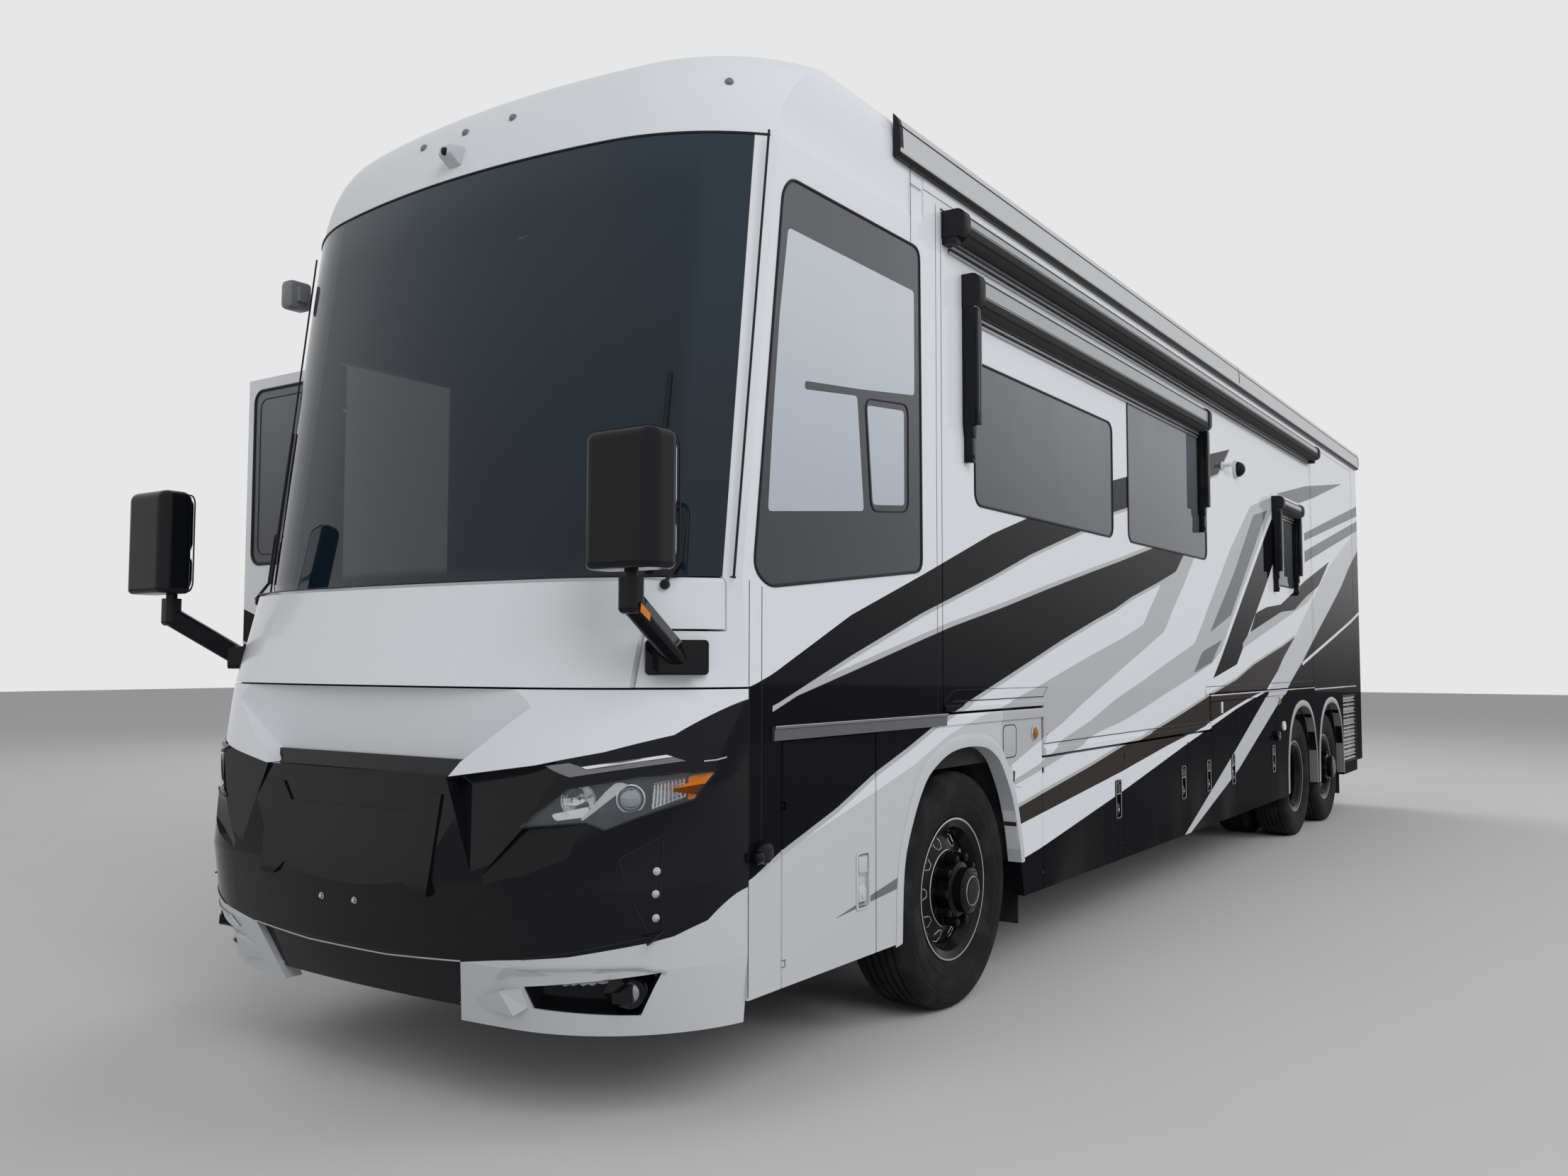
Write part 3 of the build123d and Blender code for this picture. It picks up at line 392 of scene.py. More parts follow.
LIVERY: tuple[Band, ...] = (
    Band(Tint.FROST, LOWER_LOW, ((-0.47, LOW), (1.9, LOW))),
    Band(Tint.SILVER, LOWER_LOW + ((-3.5, 2.32),), HAZE_LOW),
    Band(Tint.PEARL, shifted(LOWER_LOW, -0.02), SPEAR_LOW),
    Band(Tint.SILVER, shifted(LOWER_TOP, 0.023)[2:], shifted(LOWER_LOW, -0.021)),
    Band(Tint.BLACK, LOWER_TOP, LOWER_LOW),
    Band(Tint.SILVER, UPPER_TOP[2:], shifted(UPPER_LOW, -0.018)[1:]),
    Band(Tint.BLACK, UPPER_TOP, UPPER_LOW),
    Band(Tint.SILVER, SWEEP_TOP, SWEEP_LOW),
    Band(
        Tint.SLATE,
        ((-3.434, 1.449), (-3.631, 1.588), (-4.131, 1.676)),
        ((-3.434, 1.445), (-3.87, 1.519), (-4.0, 1.606), (-4.131, 1.676)),
    ),
    Band(
        Tint.SLATE,
        ((-3.85, 1.74), (-4.49, 2.18), (-5.09, 2.67), (-5.54, 2.75)),
        ((-3.85, 1.73), (-4.38, 1.86), (-5.46, 2.69), (-5.54, 2.75)),
    ),
    Band(
        Tint.BLACK,
        RAY_TOP,
        ((-3.89, 1.405), (-4.52, 1.50), (-5.116, 1.902), (-5.547, 2.205), (-5.79, 2.40)),
    ),
    Band(
        Tint.SILVER,
        ((-4.7, 1.66), (-4.93, 1.751), (-5.953, 1.945), (-6.9, 2.12), (-7.6, 2.30)),
        ((-4.7, 1.62), (-7.0, 2.06), (-7.6, 2.29)),
    ),
    Band(
        Tint.BLACK,
        ((-4.93, 1.751), (-5.116, 1.902), (-5.465, 1.96), (-5.95, 2.0), (-6.9, 2.25), (-7.97, 2.49)),
        ((-4.93, 1.748), (-5.326, 1.821), (-5.953, 1.937), (-6.45, 1.97), (-6.9, 2.1), (-7.48, 2.235), (-7.97, 2.485)),
    ),
    Band(Tint.SILVER, shifted(KEEL_TOP, 0.018), shifted(KEEL_TOP, -0.01)),
    Band(
        Tint.BRONZE,
        KEEL_TOP,
        (
            (-0.5, 0.738), (-0.82, 0.771), (-1.99, 0.893), (-2.8, 0.99), (-3.2, 1.032), (-3.8, 1.103),
            (-4.5, 1.199), (-5.0, 1.263), (-5.4, 1.295), (-5.79, 1.444), (-6.0, 1.553), (-6.44, 1.73),
        ),
    ),
    Band(
        Tint.BLACK,
        (
            (-0.5, 0.568), (-0.817, 0.605), (-2.0, 0.78), (-3.2, 0.975), (-3.86, 1.077), (-4.5, 1.176),
            (-5.4, 1.29), (-6.02, 1.28), (-6.3, 1.38), *TAIL_TOP,
        ),
        ((-9.75, LOW), (-0.5, LOW)),
    ),
    Band(
        Tint.FROST,
        BLADE_TOP,
        ((-3.112, 0.36), (-3.30, 0.40), (-4.507, 0.725), (-5.709, 1.15), (-6.02, 1.251), (-6.3, 1.367), *TAIL_TOP),
    ),
    Band(Tint.PEARL, PIN, shifted(PIN, -0.03)),
    Band(
        Tint.SLATE,
        ((-5.9, 2.93), (-7.0, 3.12), (-8.66, 3.335)),
        ((-5.9, 2.925), (-6.7, 2.93), (-7.34, 3.05), (-8.66, 3.33)),
    ),
    Band(Tint.SLATE, ((-6.9, 2.68), (-9.75, 3.24)), ((-6.9, 2.61), (-9.75, 3.13))),
    Band(Tint.SLATE, ((-6.9, 2.517), (-9.75, 3.08)), ((-6.9, 2.414), (-9.75, 2.975))),
    Band(Tint.SLATE, ((1.11, 0.579), (0.62, 0.665)), ((1.11, 0.577), (0.62, 0.62))),
)


@dataclass(frozen=True)
class CoachPaint:
    """Clear-coated paint with the stripes of both sides, laid out by length and height."""

    name: str
    offset: Point
    turned: bool = False
    rear: float = -10.0
    # Near-black colour of the inner faces inside the coach, which is painted shade of the interior, and where it
    # reaches.
    inside_shade: Colour = (0.055, 0.050, 0.045)
    inside_shade_half: float = 1.275
    inside_shade_run: tuple[float, float] = (-9.1, 1.0)
    inside_shade_rise: tuple[float, float] = (1.13, 3.55)
    length: float = 12.4
    height: float = 4.0
    turned_shift: float = 2.712

    def make(self) -> bpy.types.Material:
        """Builds the paint.

        Returns:
            The material.
        """
        graph = Graph(self.name)
        x, y, z = graph.axes()
        along = y - self.offset[1] + self.turned_shift if self.turned else x - self.offset[0]
        run = (along - self.rear) / self.length
        rise = z / self.height
        colour: Paint = Tint.PEARL.value
        for band in LIVERY:
            low, high = band.reach()
            mask = rise.between(self._edge(graph, run, band.bottom), self._edge(graph, run, band.top))
            colour = graph.blend(mask * along.between(low, high), colour, band.tint.value)
        # Inner faces inside the coach are coloured near-black: painted shade of the interior.
        if not self.turned:
            within = (y - self.offset[1]).size() < self.inside_shade_half
            within = within * along.between(*self.inside_shade_run) * z.between(*self.inside_shade_rise)
            colour = graph.blend(within, colour, self.inside_shade)
        film = graph.noise(0.9, 4.0, (1.0, 1.0, 0.5)).ramp(0.45, 0.8) * z.ramp(0.95, 0.35)
        dusty = graph.blend(film * 0.10, colour, (0.42, 0.40, 0.37))
        peel = graph.noise(160.0, 1.0)
        return graph.surface({
            "Base Color": dusty,
            "Roughness": film * 0.25 + 0.16,
            "Normal": graph.bump(peel, 0.04, 0.0004),
            "Metallic": 0.0,
            "Coat Weight": z.ramp(1.0, 2.9) * 0.42 + 0.08,
            "Coat Roughness": 0.03,
            "Specular IOR Level": 0.0,
        })

    def _edge(self, graph: Graph, run: Wire, edge: Outline) -> Wire:
        """An edge's height at each place along the coach.

        Args:
            graph: The paint's graph.
            run: The place along the coach, 0 to 1.
            edge: Rows of x and height.

        Returns:
            The height, 0 to 1.
        """
        points = sorted(((x - self.rear) / self.length, z / self.height) for x, z in edge)
        return graph.wire("ShaderNodeFloatCurve", {"points": points}, {"Value": run})


@dataclass(frozen=True)
class GlossCoat:
    """Plain painted or moulded gloss surface with fine dust and a clear coat."""

    name: str
    colour: Colour
    roughness: float = 0.15
    metallic: float = 0.0
    coat: float = 0.30
    grain: float = 180.0
    depth: float = 0.0004
    dust: float = 0.03
    specular: float = 0.15

    def make(self) -> bpy.types.Material:
        """Builds the coat.

        Returns:
            The material.
        """
        graph = Graph(self.name)
        _, _, z = graph.axes()
        # In this coat the share is dust only, thicker lower down.
        dust_and_sky_reflection = graph.noise(2.2, 4.0).ramp(0.45, 0.75) * z.ramp(1.2, 0.3)
        dull = tuple(c * 0.8 + 0.03 for c in self.colour)
        return graph.surface({
            "Base Color": graph.blend(dust_and_sky_reflection * self.dust * 3.0, self.colour, dull),
            "Roughness": graph.noise(14.0, 3.0) * 0.08 + dust_and_sky_reflection * self.dust + self.roughness,
            "Metallic": self.metallic,
            "Normal": graph.bump(graph.noise(self.grain, 2.0), 0.12, self.depth),
            "Coat Weight": self.coat,
            "Coat Roughness": 0.04,
            "Specular IOR Level": self.specular,
        })


@dataclass(frozen=True)
class TintedGlass:
    """Privacy glass: a dark see-through pane with a clean face, turning higher up to a painted sky reflection."""

    name: str
    colour: Colour
    cover: float
    shade_low: float = 0.0
    shade_high: float = 10.0
    specular: float = 0.2
    sky_reflection: Colour | None = None
    middle: float = 0.0
    border: float = 100.0

    def make(self) -> bpy.types.Material:
        """Builds the glass.

        Returns:
            The material.
        """
        graph = Graph(self.name)
        _, y, z = graph.axes()
        smear = graph.noise(1.6, 3.0, (1.0, 1.0, 0.3)).ramp(0.4, 0.8)
        side = (y - self.middle).size().ramp(self.border - 0.05, self.border)
        edge = z.ramp(self.shade_low, self.shade_low + 0.06)
        top = z.ramp(self.shade_high - 0.25, self.shade_high)
        cover = edge * (self.cover - 1.0) + 1.0 + (top + side) * (1.0 - self.cover)
        cover = cover.math("MINIMUM", 1.0)
        # Painted sky reflection: from 1.9 m up the colour turns to the sky reflection colour, mottled by smears.
        dust_and_sky_reflection = z.ramp(1.9, 3.1) * (smear * 0.3 + 0.7)
        return graph.surface({
            "Base Color": graph.blend(dust_and_sky_reflection, self.colour, self.sky_reflection or self.colour),
            "Roughness": smear * 0.03 + 0.015,
            "Alpha": cover,
            "Specular IOR Level": self.specular,
            "Coat Weight": 0.3,
            "Coat Roughness": 0.01,
        })


@dataclass(frozen=True)
class Rubber:
    """Weathered rubber with a fine moulded grain."""

    name: str
    colour: Colour
    roughness: float = 0.62

    def make(self) -> bpy.types.Material:
        """Builds the rubber.

        Returns:
            The material.
        """
        graph = Graph(self.name)
        wear = graph.noise(9.0, 4.0).ramp(0.4, 0.75)
        pale = tuple(c * 1.6 + 0.01 for c in self.colour)
        return graph.surface({
            "Base Color": graph.blend(wear, self.colour, pale),
            "Roughness": wear * 0.12 + self.roughness,
            "Specular IOR Level": 0.12,
            "Normal": graph.bump(graph.noise(420.0, 2.0), 0.25, 0.0006),
        })


@dataclass(frozen=True)
class Leather:
    """Seat leather with a pebbled grain."""

    name: str
    colour: Colour

    def make(self) -> bpy.types.Material:
        """Builds the leather.

        Returns:
            The material.
        """
        graph = Graph(self.name)
        cells = graph.wire("ShaderNodeTexVoronoi", {}, {"Vector": graph.place(), "Scale": 260.0}, 0)
        tone = graph.noise(5.0, 3.0)
        deep = tuple(c * 0.75 for c in self.colour)
        return graph.surface({
            "Base Color": graph.blend(tone, deep, self.colour),
            "Roughness": tone * 0.15 + 0.38,
            "Normal": graph.bump(cells, 0.3, 0.0012),
        })


@dataclass(frozen=True)
class Board:
    """A floor that is planked above and dark at its edges and below."""

    name: str
    colour: Colour
    under: Colour
    top: float = 1.118

    def make(self) -> bpy.types.Material:
        """Builds the floor.

        Returns:
            The material.
        """
        graph = Graph(self.name)
        _, _, z = graph.axes()
        grain = graph.noise(7.0, 4.0, (0.2, 4.0, 1.0))
        pale = tuple(c * 1.25 for c in self.colour)
        return graph.surface({
            "Base Color": graph.blend(z > self.top, self.under, graph.blend(grain, self.colour, pale)),
            "Roughness": grain * 0.15 + 0.45,
            "Specular IOR Level": 0.2,
            "Normal": graph.bump(grain, 0.2, 0.0008),
        })


@dataclass(frozen=True)
class Fabric:
    """Woven awning cloth."""

    name: str
    colour: Colour

    def make(self) -> bpy.types.Material:
        """Builds the cloth.

        Returns:
            The material.
        """
        graph = Graph(self.name)
        weave = graph.wire("ShaderNodeTexWave", {"bands_direction": "X"}, {"Vector": graph.place(), "Scale": 160.0}, 1)
        tone = graph.noise(6.0, 3.0)
        pale = tuple(c * 1.8 for c in self.colour)
        return graph.surface({
            "Base Color": graph.blend(tone, self.colour, pale),
            "Roughness": tone * 0.10 + 0.80,
            "Normal": graph.bump(weave, 0.3, 0.0006),
        })


class Finishes:
    """Makes each finish once, by the slot of the record that it stands for."""

    def __init__(self, offset: Point) -> None:
        """Builds all the finishes.

        Args:
            offset: The front axle's centre in the row frame.
        """
        self.paint = CoachPaint("coach_paint", offset).make()
        self.door_paint = CoachPaint("entry_door_paint", offset, turned=True).make()
        self.white = GlossCoat("pearl_white", Tint.PEARL.value).make()
        self.frost = GlossCoat("frost_silver", Tint.FROST.value).make()
        self.black = GlossCoat("gloss_black", Tint.BLACK.value, 0.08, coat=0.22, specular=0.08).make()
        self.satin = GlossCoat("satin_black", (0.016, 0.016, 0.018), 0.38, coat=0.0, grain=700.0).make()
        # Each glass's sky reflection colour is a painted reflection of the sky on its upper part.
        self.glass = TintedGlass("side_glass_tint", (0.045, 0.05, 0.06), 0.93, sky_reflection=(0.17, 0.185, 0.21)).make()
        self.screen = TintedGlass(
            "windscreen_tint", (0.005, 0.013, 0.022), 0.80, 1.80, 3.36, sky_reflection=(0.014, 0.030, 0.046), middle=offset[1],
            border=1.12,
        ).make()
        self.lamp = TintedGlass("lamp_lens", (0.40, 0.45, 0.50), 0.10, specular=0.4).make()
        self.red = GlossCoat("tail_lamp_red", (0.42, 0.012, 0.012), 0.12).make()
        self.chrome = GlossCoat("chrome", (0.60, 0.61, 0.63), 0.12, 1.0, 0.0, dust=0.02).make()
        self.silver = GlossCoat("awning_silver", (0.40, 0.41, 0.42), 0.30, 0.6, 0.2).make()
        self.chassis = GlossCoat("chassis_black", (0.02, 0.02, 0.022), 0.45, coat=0.0, depth=0.001).make()
        self.iron = GlossCoat("engine_iron", (0.16, 0.17, 0.18), 0.55, 0.4, 0.0, depth=0.002).make()
        self.board = Board("floor_board", (0.30, 0.25, 0.20), (0.02, 0.02, 0.02)).make()
        self.moulded = GlossCoat("cab_moulding", (0.07, 0.07, 0.075), 0.6, coat=0.0, grain=900.0).make()
        self.leather = Leather("seat_leather", (0.42, 0.37, 0.32)).make()
        self.flap = Rubber("flap_rubber", (0.018, 0.018, 0.019)).make()
        self.tyre = Rubber("tyre_rubber", (0.012, 0.012, 0.0125), 0.72).make()
        self.wheel = GlossCoat(
            "wheel_black", (0.007, 0.007, 0.008), 0.14, coat=0.12, grain=90.0, dust=0.01, specular=0.08,
        ).make()
        self.tint = TintedGlass("driver_window_frit", (0.030, 0.033, 0.038), 0.98, sky_reflection=(0.11, 0.115, 0.125)).make()
        # The clear panes' pale colour is a painted reflection of clouds.
        self.pane = TintedGlass("driver_window_pane", (0.42, 0.47, 0.53), 0.96, sky_reflection=(0.62, 0.65, 0.69)).make()
        self.case = GlossCoat("roof_case_silver", (0.52, 0.53, 0.545), 0.34, 0.4, 0.2).make()
        self.smoke = GlossCoat("lamp_housing", (0.018, 0.019, 0.021), 0.30, 0.2, 0.2, dust=0.0).make()
        self.mirror = GlossCoat(
            "reflector", (0.66, 0.68, 0.70), 0.06, 1.0, 0.0, grain=60.0, depth=0.0001, dust=0.0,
        ).make()
        self.bulb = GlossCoat("lamp_glass_body", (0.30, 0.33, 0.36), 0.05, 0.75, 0.6, depth=0.0001, dust=0.0).make()
        self.frosted = GlossCoat("frosted_lamp", (0.72, 0.74, 0.76), 0.22, 0.0, 0.6, dust=0.0).make()
        self.amber = GlossCoat("amber_lamp", (0.78, 0.22, 0.015), 0.14, dust=0.0).make()
        self.amber_dark = GlossCoat("amber_marker", (0.26, 0.095, 0.015), 0.18, dust=0.0).make()
        self.slate_trim = GlossCoat("slate_moulding", (0.17, 0.175, 0.185), 0.30, coat=0.3, dust=0.02).make()
        self.slate_metal = GlossCoat("brushed_rail", (0.14, 0.145, 0.15), 0.30, 0.7, 0.2, grain=320.0, dust=0.02).make()
        self.pearl_trim = GlossCoat("pearl_moulding", Tint.FROST.value, 0.24, dust=0.04).make()
        self.fabric = Fabric("awning_fabric", (0.013, 0.013, 0.014)).make()
        self.by_slot = {
            "chassis_black": self.chassis,
            "engine_grey": self.iron,
            "floor_board": self.board,
            "body_white": self.paint,
            "roof_white": self.white,
            "gloss_black": self.black,
            "dark_glass": self.glass,
            "lamp_glass": self.lamp,
            "tail_red": self.red,
            "trim_chrome": self.chrome,
            "awning_silver": self.silver,
            "cab_plastic": self.moulded,
            "cab_leather": self.leather,
            "flap_rubber": self.flap,
            "tyre_black": self.tyre,
            "wheel_black": self.wheel,
        }


# Camera, light and floor


@dataclass(frozen=True)
class Viewpoint:
    """The camera of the reference view, measured from the front axle."""

    place: Point = (5.071, 3.745, 1.520)
    yaw: float = 214.23
    pitch: float = 3.33
    roll: float = 0.1
    lens: float = 28.787
    sensor: float = 36.0

    def build(self, offset: Point) -> None:
        """Adds the camera and makes it the scene's.

        Args:
            offset: The front axle's centre in the row frame.
        """
        yaw, pitch, roll = (math.radians(a) for a in (self.yaw, self.pitch, self.roll))
        ahead = Vector((math.cos(pitch) * math.cos(yaw), math.cos(pitch) * math.sin(yaw), math.sin(pitch)))
        right = ahead.cross(Vector((0, 0, 1))).normalized()
        up = right.cross(ahead)
        across = right * math.cos(roll) + up * math.sin(roll)
        rise = up * math.cos(roll) - right * math.sin(roll)
        data = bpy.data.cameras.new("camera")
        data.lens = self.lens
        data.sensor_width = self.sensor
        data.sensor_fit = "HORIZONTAL"
        data.clip_end = 200.0
        camera = bpy.data.objects.new("camera", data)
        turn = Matrix((across, rise, -ahead)).transposed().to_4x4()
        camera.matrix_world = Matrix.Translation(Vector(self.place) + Vector(offset)) @ turn
        bpy.context.scene.collection.objects.link(camera)
        bpy.context.scene.camera = camera


@dataclass(frozen=True)
class Studio:
    """A pale floor, a white surround and large soft lamps."""

    floor_size: float = 120.0
    floor_tone: float = 0.62
    world_level: float = 0.46

    def build(self, offset: Point) -> None:
        """Adds the floor, the world and the lamps.

        Args:
            offset: The front axle's centre in the row frame.
        """
        self._floor()
        self._world()
        rows = (
            ("key", (9.0, 13.0, 12.0), (0.0, 0.0, 1.6), 10.0, 1270.0),
            ("front", (14.0, -2.0, 7.0), (1.5, 0.0, 1.6), 8.0, 250.0),
            ("rear", (-14.0, -10.0, 11.0), (-5.0, 0.0, 1.8), 9.0, 850.0),
            ("side", (-8.0, 15.0, 8.0), (-5.0, 1.2, 1.6), 10.0, 760.0),
        )
        for name, place, aim, size, power in rows:
            data = bpy.data.lights.new(name, "AREA")
            data.size = size
            data.energy = power
            lamp = bpy.data.objects.new(name, data)
            start = Vector(place) + Vector(offset)
            lamp.location = start
            lamp.visible_glossy = False
            lamp.rotation_euler = (Vector(aim) + Vector(offset) - start).to_track_quat("-Z", "Y").to_euler()
            bpy.context.scene.collection.objects.link(lamp)

    def _floor(self) -> None:
        """Adds the floor."""
        half = self.floor_size / 2
        mesh = bpy.data.meshes.new("floor")
        mesh.from_pydata([(-half, -half, 0), (half, -half, 0), (half, half, 0), (-half, half, 0)], [], [(0, 1, 2, 3)])
        floor = bpy.data.objects.new("floor", mesh)
        bpy.context.scene.collection.objects.link(floor)
        graph = Graph("floor_tone")
        mottle = graph.noise(0.6, 5.0)
        tone = (self.floor_tone,) * 3
        pale = (self.floor_tone * 1.05,) * 3
        mesh.materials.append(graph.surface({"Base Color": graph.blend(mottle, tone, pale), "Roughness": 0.85}))

    def _world(self) -> None:
        """Lights from all round, and shows white to the camera, gloss and glass."""
        world = bpy.data.worlds.new("surround")
        bpy.context.scene.world = world
        graph = Graph(world.name, world)
        path = graph.node("ShaderNodeLightPath", {}, {})
        rays = ("Camera", "Glossy", "Transmission")
        camera, gloss, glass = (Wire(graph, path.outputs[f"Is {ray} Ray"]) for ray in rays)
        shown = camera.math("MAXIMUM", gloss).math("MAXIMUM", glass)
        level = graph.wire("ShaderNodeMapRange", {}, {"Value": shown, "To Min": self.world_level, "To Max": 1.0})
        back = graph.node("ShaderNodeBackground", {}, {"Strength": level})
        graph.node("ShaderNodeOutputWorld", {}, {0: back.outputs[0]})


# Dressing of the frame's own nodes


@dataclass
class Frame:
    """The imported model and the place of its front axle."""

    nodes: dict[str, bpy.types.Object]
    record: dict[str, Any]
    offset: Point = (0.0, 0.0, 0.0)

    def __post_init__(self) -> None:
        """Finds the front axle's centre in the row frame."""
        low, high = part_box("tyre_front_left")
        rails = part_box("chassis_frame")
        self.offset = ((low.x + high.x) / 2, (rails[0].y + rails[1].y) / 2, 0.0)

    def dress(self, finishes: Finishes, special: dict[str, bpy.types.Material]) -> None:
        """Gives every node its finish, by its slot or by its own name.

        Args:
            finishes: The finishes by slot.
            special: Finishes of nodes that differ from their slot.
        """
        slots = {p["node"]: p["material_slot"] for p in self.record["subparts"]}
        for name, node in self.nodes.items():
            finish = special.get(name) or finishes.by_slot[slots[name]]
            for slot in node.material_slots:
                slot.material = finish


# Mesh tools

HALF = 1.283
TYRE_RADIUS = 0.515
WHEEL_Y = 1.088
TWIN_Y = 0.748
AXLES = {"front": 0.0, "drive": -6.678, "tag": -7.918}
SIDES = {"left": 1, "right": -1}


class Form:
    """A mesh under construction, in metres from the front axle."""

    def __init__(self) -> None:
        """Starts empty."""
        self.bm = bmesh.new()

    def row(self, points: Iterable[Sequence[float]]) -> list[bmesh.types.BMVert]:
        """Adds points, in order."""
        return [self.bm.verts.new(point) for point in points]

    def bridge(self, rows: Sequence[list[bmesh.types.BMVert]], ring: bool = True, closed: bool = False) -> None:
        """Joins like rows of points by faces.

        Args:
            rows: The rows.
            ring: Whether the last point of a row joins its first.
            closed: Whether the last row joins the first.
        """
        pairs = list(zip(rows, rows[1:])) + ([(rows[-1], rows[0])] if closed else [])
        for lower, upper in pairs:
            for place in range(len(lower) if ring else len(lower) - 1):
                after = (place + 1) % len(lower)
                self.bm.faces.new((lower[place], lower[after], upper[after], upper[place]))

    def _soften(self, verts: Iterable[bmesh.types.BMVert], width: float, steps: int = 2) -> None:
        """Rounds the sharp edges between some points.

        Args:
            verts: The points.
            width: The rounding's width.
            steps: Its segments.
        """
        chosen = set(verts)
        edges = {
            edge for vert in chosen for edge in vert.link_edges
            if edge.other_vert(vert) in chosen and edge.is_manifold and edge.calc_face_angle() > 0.5
        }
        order = sorted(edges, key=lambda edge: tuple(v for vert in edge.verts for v in vert.co))
        bmesh.ops.bevel(
            self.bm, geom=order, offset=width, segments=steps, profile=0.5, affect="EDGES", clamp_overlap=True,
        )

    def prism(self, outline: Sequence[Point], depth: Point, soft: float = 0.0) -> "Form":
        """Adds a flat outline drawn out along a vector.

        Args:
            outline: The outline's points.
            depth: The vector.
            soft: Width of its rounded edges.

        Returns:
            This form.
        """
        base = self.row(outline)
        face = self.bm.faces.new(base)
        drawn = bmesh.ops.extrude_face_region(self.bm, geom=[face])["geom"]
        moved = [item for item in drawn if isinstance(item, bmesh.types.BMVert)]
        bmesh.ops.translate(self.bm, vec=Vector(depth), verts=moved)
        if soft:
            self._soften(base + moved, soft)
        return self

    def box(self, start: Point, end: Point, soft: float = 0.0) -> "Form":
        """Adds a box between two opposite corners, with rounded edges."""
        (x0, x1), (y0, y1), (z0, z1) = (sorted(pair) for pair in zip(start, end))
        return self.prism([(x0, y0, z0), (x1, y0, z0), (x1, y1, z0), (x0, y1, z0)], (0.0, 0.0, z1 - z0), soft)

    def plate(self, outline: Rows, y: float, thick: float, soft: float = 0.0) -> "Form":
        """Adds a plate on a side wall from x, z points, standing out by its thickness."""
        return self.prism([(x, y, z) for x, z in outline], (0.0, thick, 0.0), soft)

    def bar(self, section: Rows, x0: float, x1: float, soft: float = 0.0) -> "Form":
        """Adds a bar along the coach from the y, z points of its section."""
        return self.prism([(x0, y, z) for y, z in section], (x1 - x0, 0.0, 0.0), soft)

    def rod(
        self, start: Point, end: Point, radius: float, tip: float | None = None, sides: int = 24, soft: float = 0.0,
    ) -> "Form":
        """Adds a round bar or cone.

        Args:
            start: Middle of its first end.
            end: Middle of its last end.
            radius: Radius at the first end.
            tip: Radius at the last end, if it differs.
            sides: Number of sides.
            soft: Width of its rounded rims.

        Returns:
            This form.
        """
        axis = Vector(end) - Vector(start)
        middle = (Vector(start) + Vector(end)) / 2
        turn = Matrix.Translation(middle) @ axis.to_track_quat("Z", "Y").to_matrix().to_4x4()
        made = bmesh.ops.create_cone(
            self.bm, cap_ends=True, segments=sides, radius1=radius, radius2=radius if tip is None else tip,
            depth=axis.length, matrix=turn,
        )
        if soft:
            self._soften(made["verts"], soft)
        return self

    def lathe(self, rows: Rows, centre: Point, axis: Point, sides: int = 48, closed: bool = False) -> "Form":
        """Adds a turned form.

        Args:
            rows: Radius and height of each ring.
            centre: Where height is 0.
            axis: The way in which height grows.
            sides: Number of segments round it.
            closed: Whether the last ring joins the first.

        Returns:
            This form.
        """
        turn = Vector(axis).normalized().to_track_quat("Z", "Y")
        angles = [2 * math.pi * count / sides for count in range(sides)]
        rings = [
            self.row(
                Vector(centre) + turn @ Vector((radius * math.cos(angle), radius * math.sin(angle), height))
                for angle in angles
            )
            for radius, height in rows
        ]
        self.bridge(rings, closed=closed)
        tips = [vert for (radius, _), ring in zip(rows, rings) if radius == 0 for vert in ring]
        if tips:
            bmesh.ops.remove_doubles(self.bm, verts=tips, dist=1e-6)
        return self

    def tube(self, path: Sequence[Point], radius: float, sides: int = 8, closed: bool = False) -> "Form":
        """Adds a round bar along a path.

        Args:
            path: The path's points.
            radius: The bar's radius.
            sides: Number of sides.
            closed: Whether the path ends where it starts.

        Returns:
            This form.
        """
        points = [Vector(point) for point in path]
        angles = [2 * math.pi * step / sides for step in range(sides)]
        rings = []
        normal = Vector((0, 0, 1))
        for place, point in enumerate(points):
            if closed:
                before, after = points[place - 1], points[(place + 1) % len(points)]
            else:
                before, after = points[max(place - 1, 0)], points[min(place + 1, len(points) - 1)]
            along = (after - before).normalized()
            if abs(along.dot(normal)) > 0.95:
                normal = Vector((0, 1, 0)) if abs(along.y) < 0.9 else Vector((1, 0, 0))
            side = along.cross(normal).normalized()
            normal = side.cross(along).normalized()
            rings.append(self.row(
                point + (side * math.cos(angle) + normal * math.sin(angle)) * radius for angle in angles
            ))
        self.bridge(rings, closed=closed)
        if not closed:
            self.bm.faces.new(rings[0][::-1])
            self.bm.faces.new(rings[-1])
        return self

    def bead(self, outline: Rows, y: float, radius: float, sides: int = 8) -> "Form":
        """Adds a round bead along a closed outline of x, z points on a side wall."""
        return self.tube([(x, y, z) for x, z in outline], radius, sides, True)

    def slab(self, face: Sequence[Vector], depth: Sequence[float]) -> "Form":
        """Adds a closed plate from its face and the vector to its back."""
        return self.skin(face, [point + Vector(depth) for point in face])

    def skin(self, front: Sequence[Vector], back: Sequence[Vector]) -> "Form":
        """Adds a closed plate between two like outlines.

        Args:
            front: The face's points.
            back: The points behind them.

        Returns:
            This form.
        """
        top, low = self.row(front), self.row(back)
        self.bm.faces.new(top)
        self.bm.faces.new(low[::-1])
        self.bridge([low, top])
        return self

    def turn(self, angle: float, pivot: Point) -> "Form":
        """Turns all of it about an upright line.

        Args:
            angle: The angle in degrees.
            pivot: A point on the line.

        Returns:
            This form.
        """
        matrix = Matrix.Rotation(math.radians(angle), 3, "Z")
        bmesh.ops.rotate(self.bm, cent=Vector(pivot), matrix=matrix, verts=self.bm.verts)
        return self

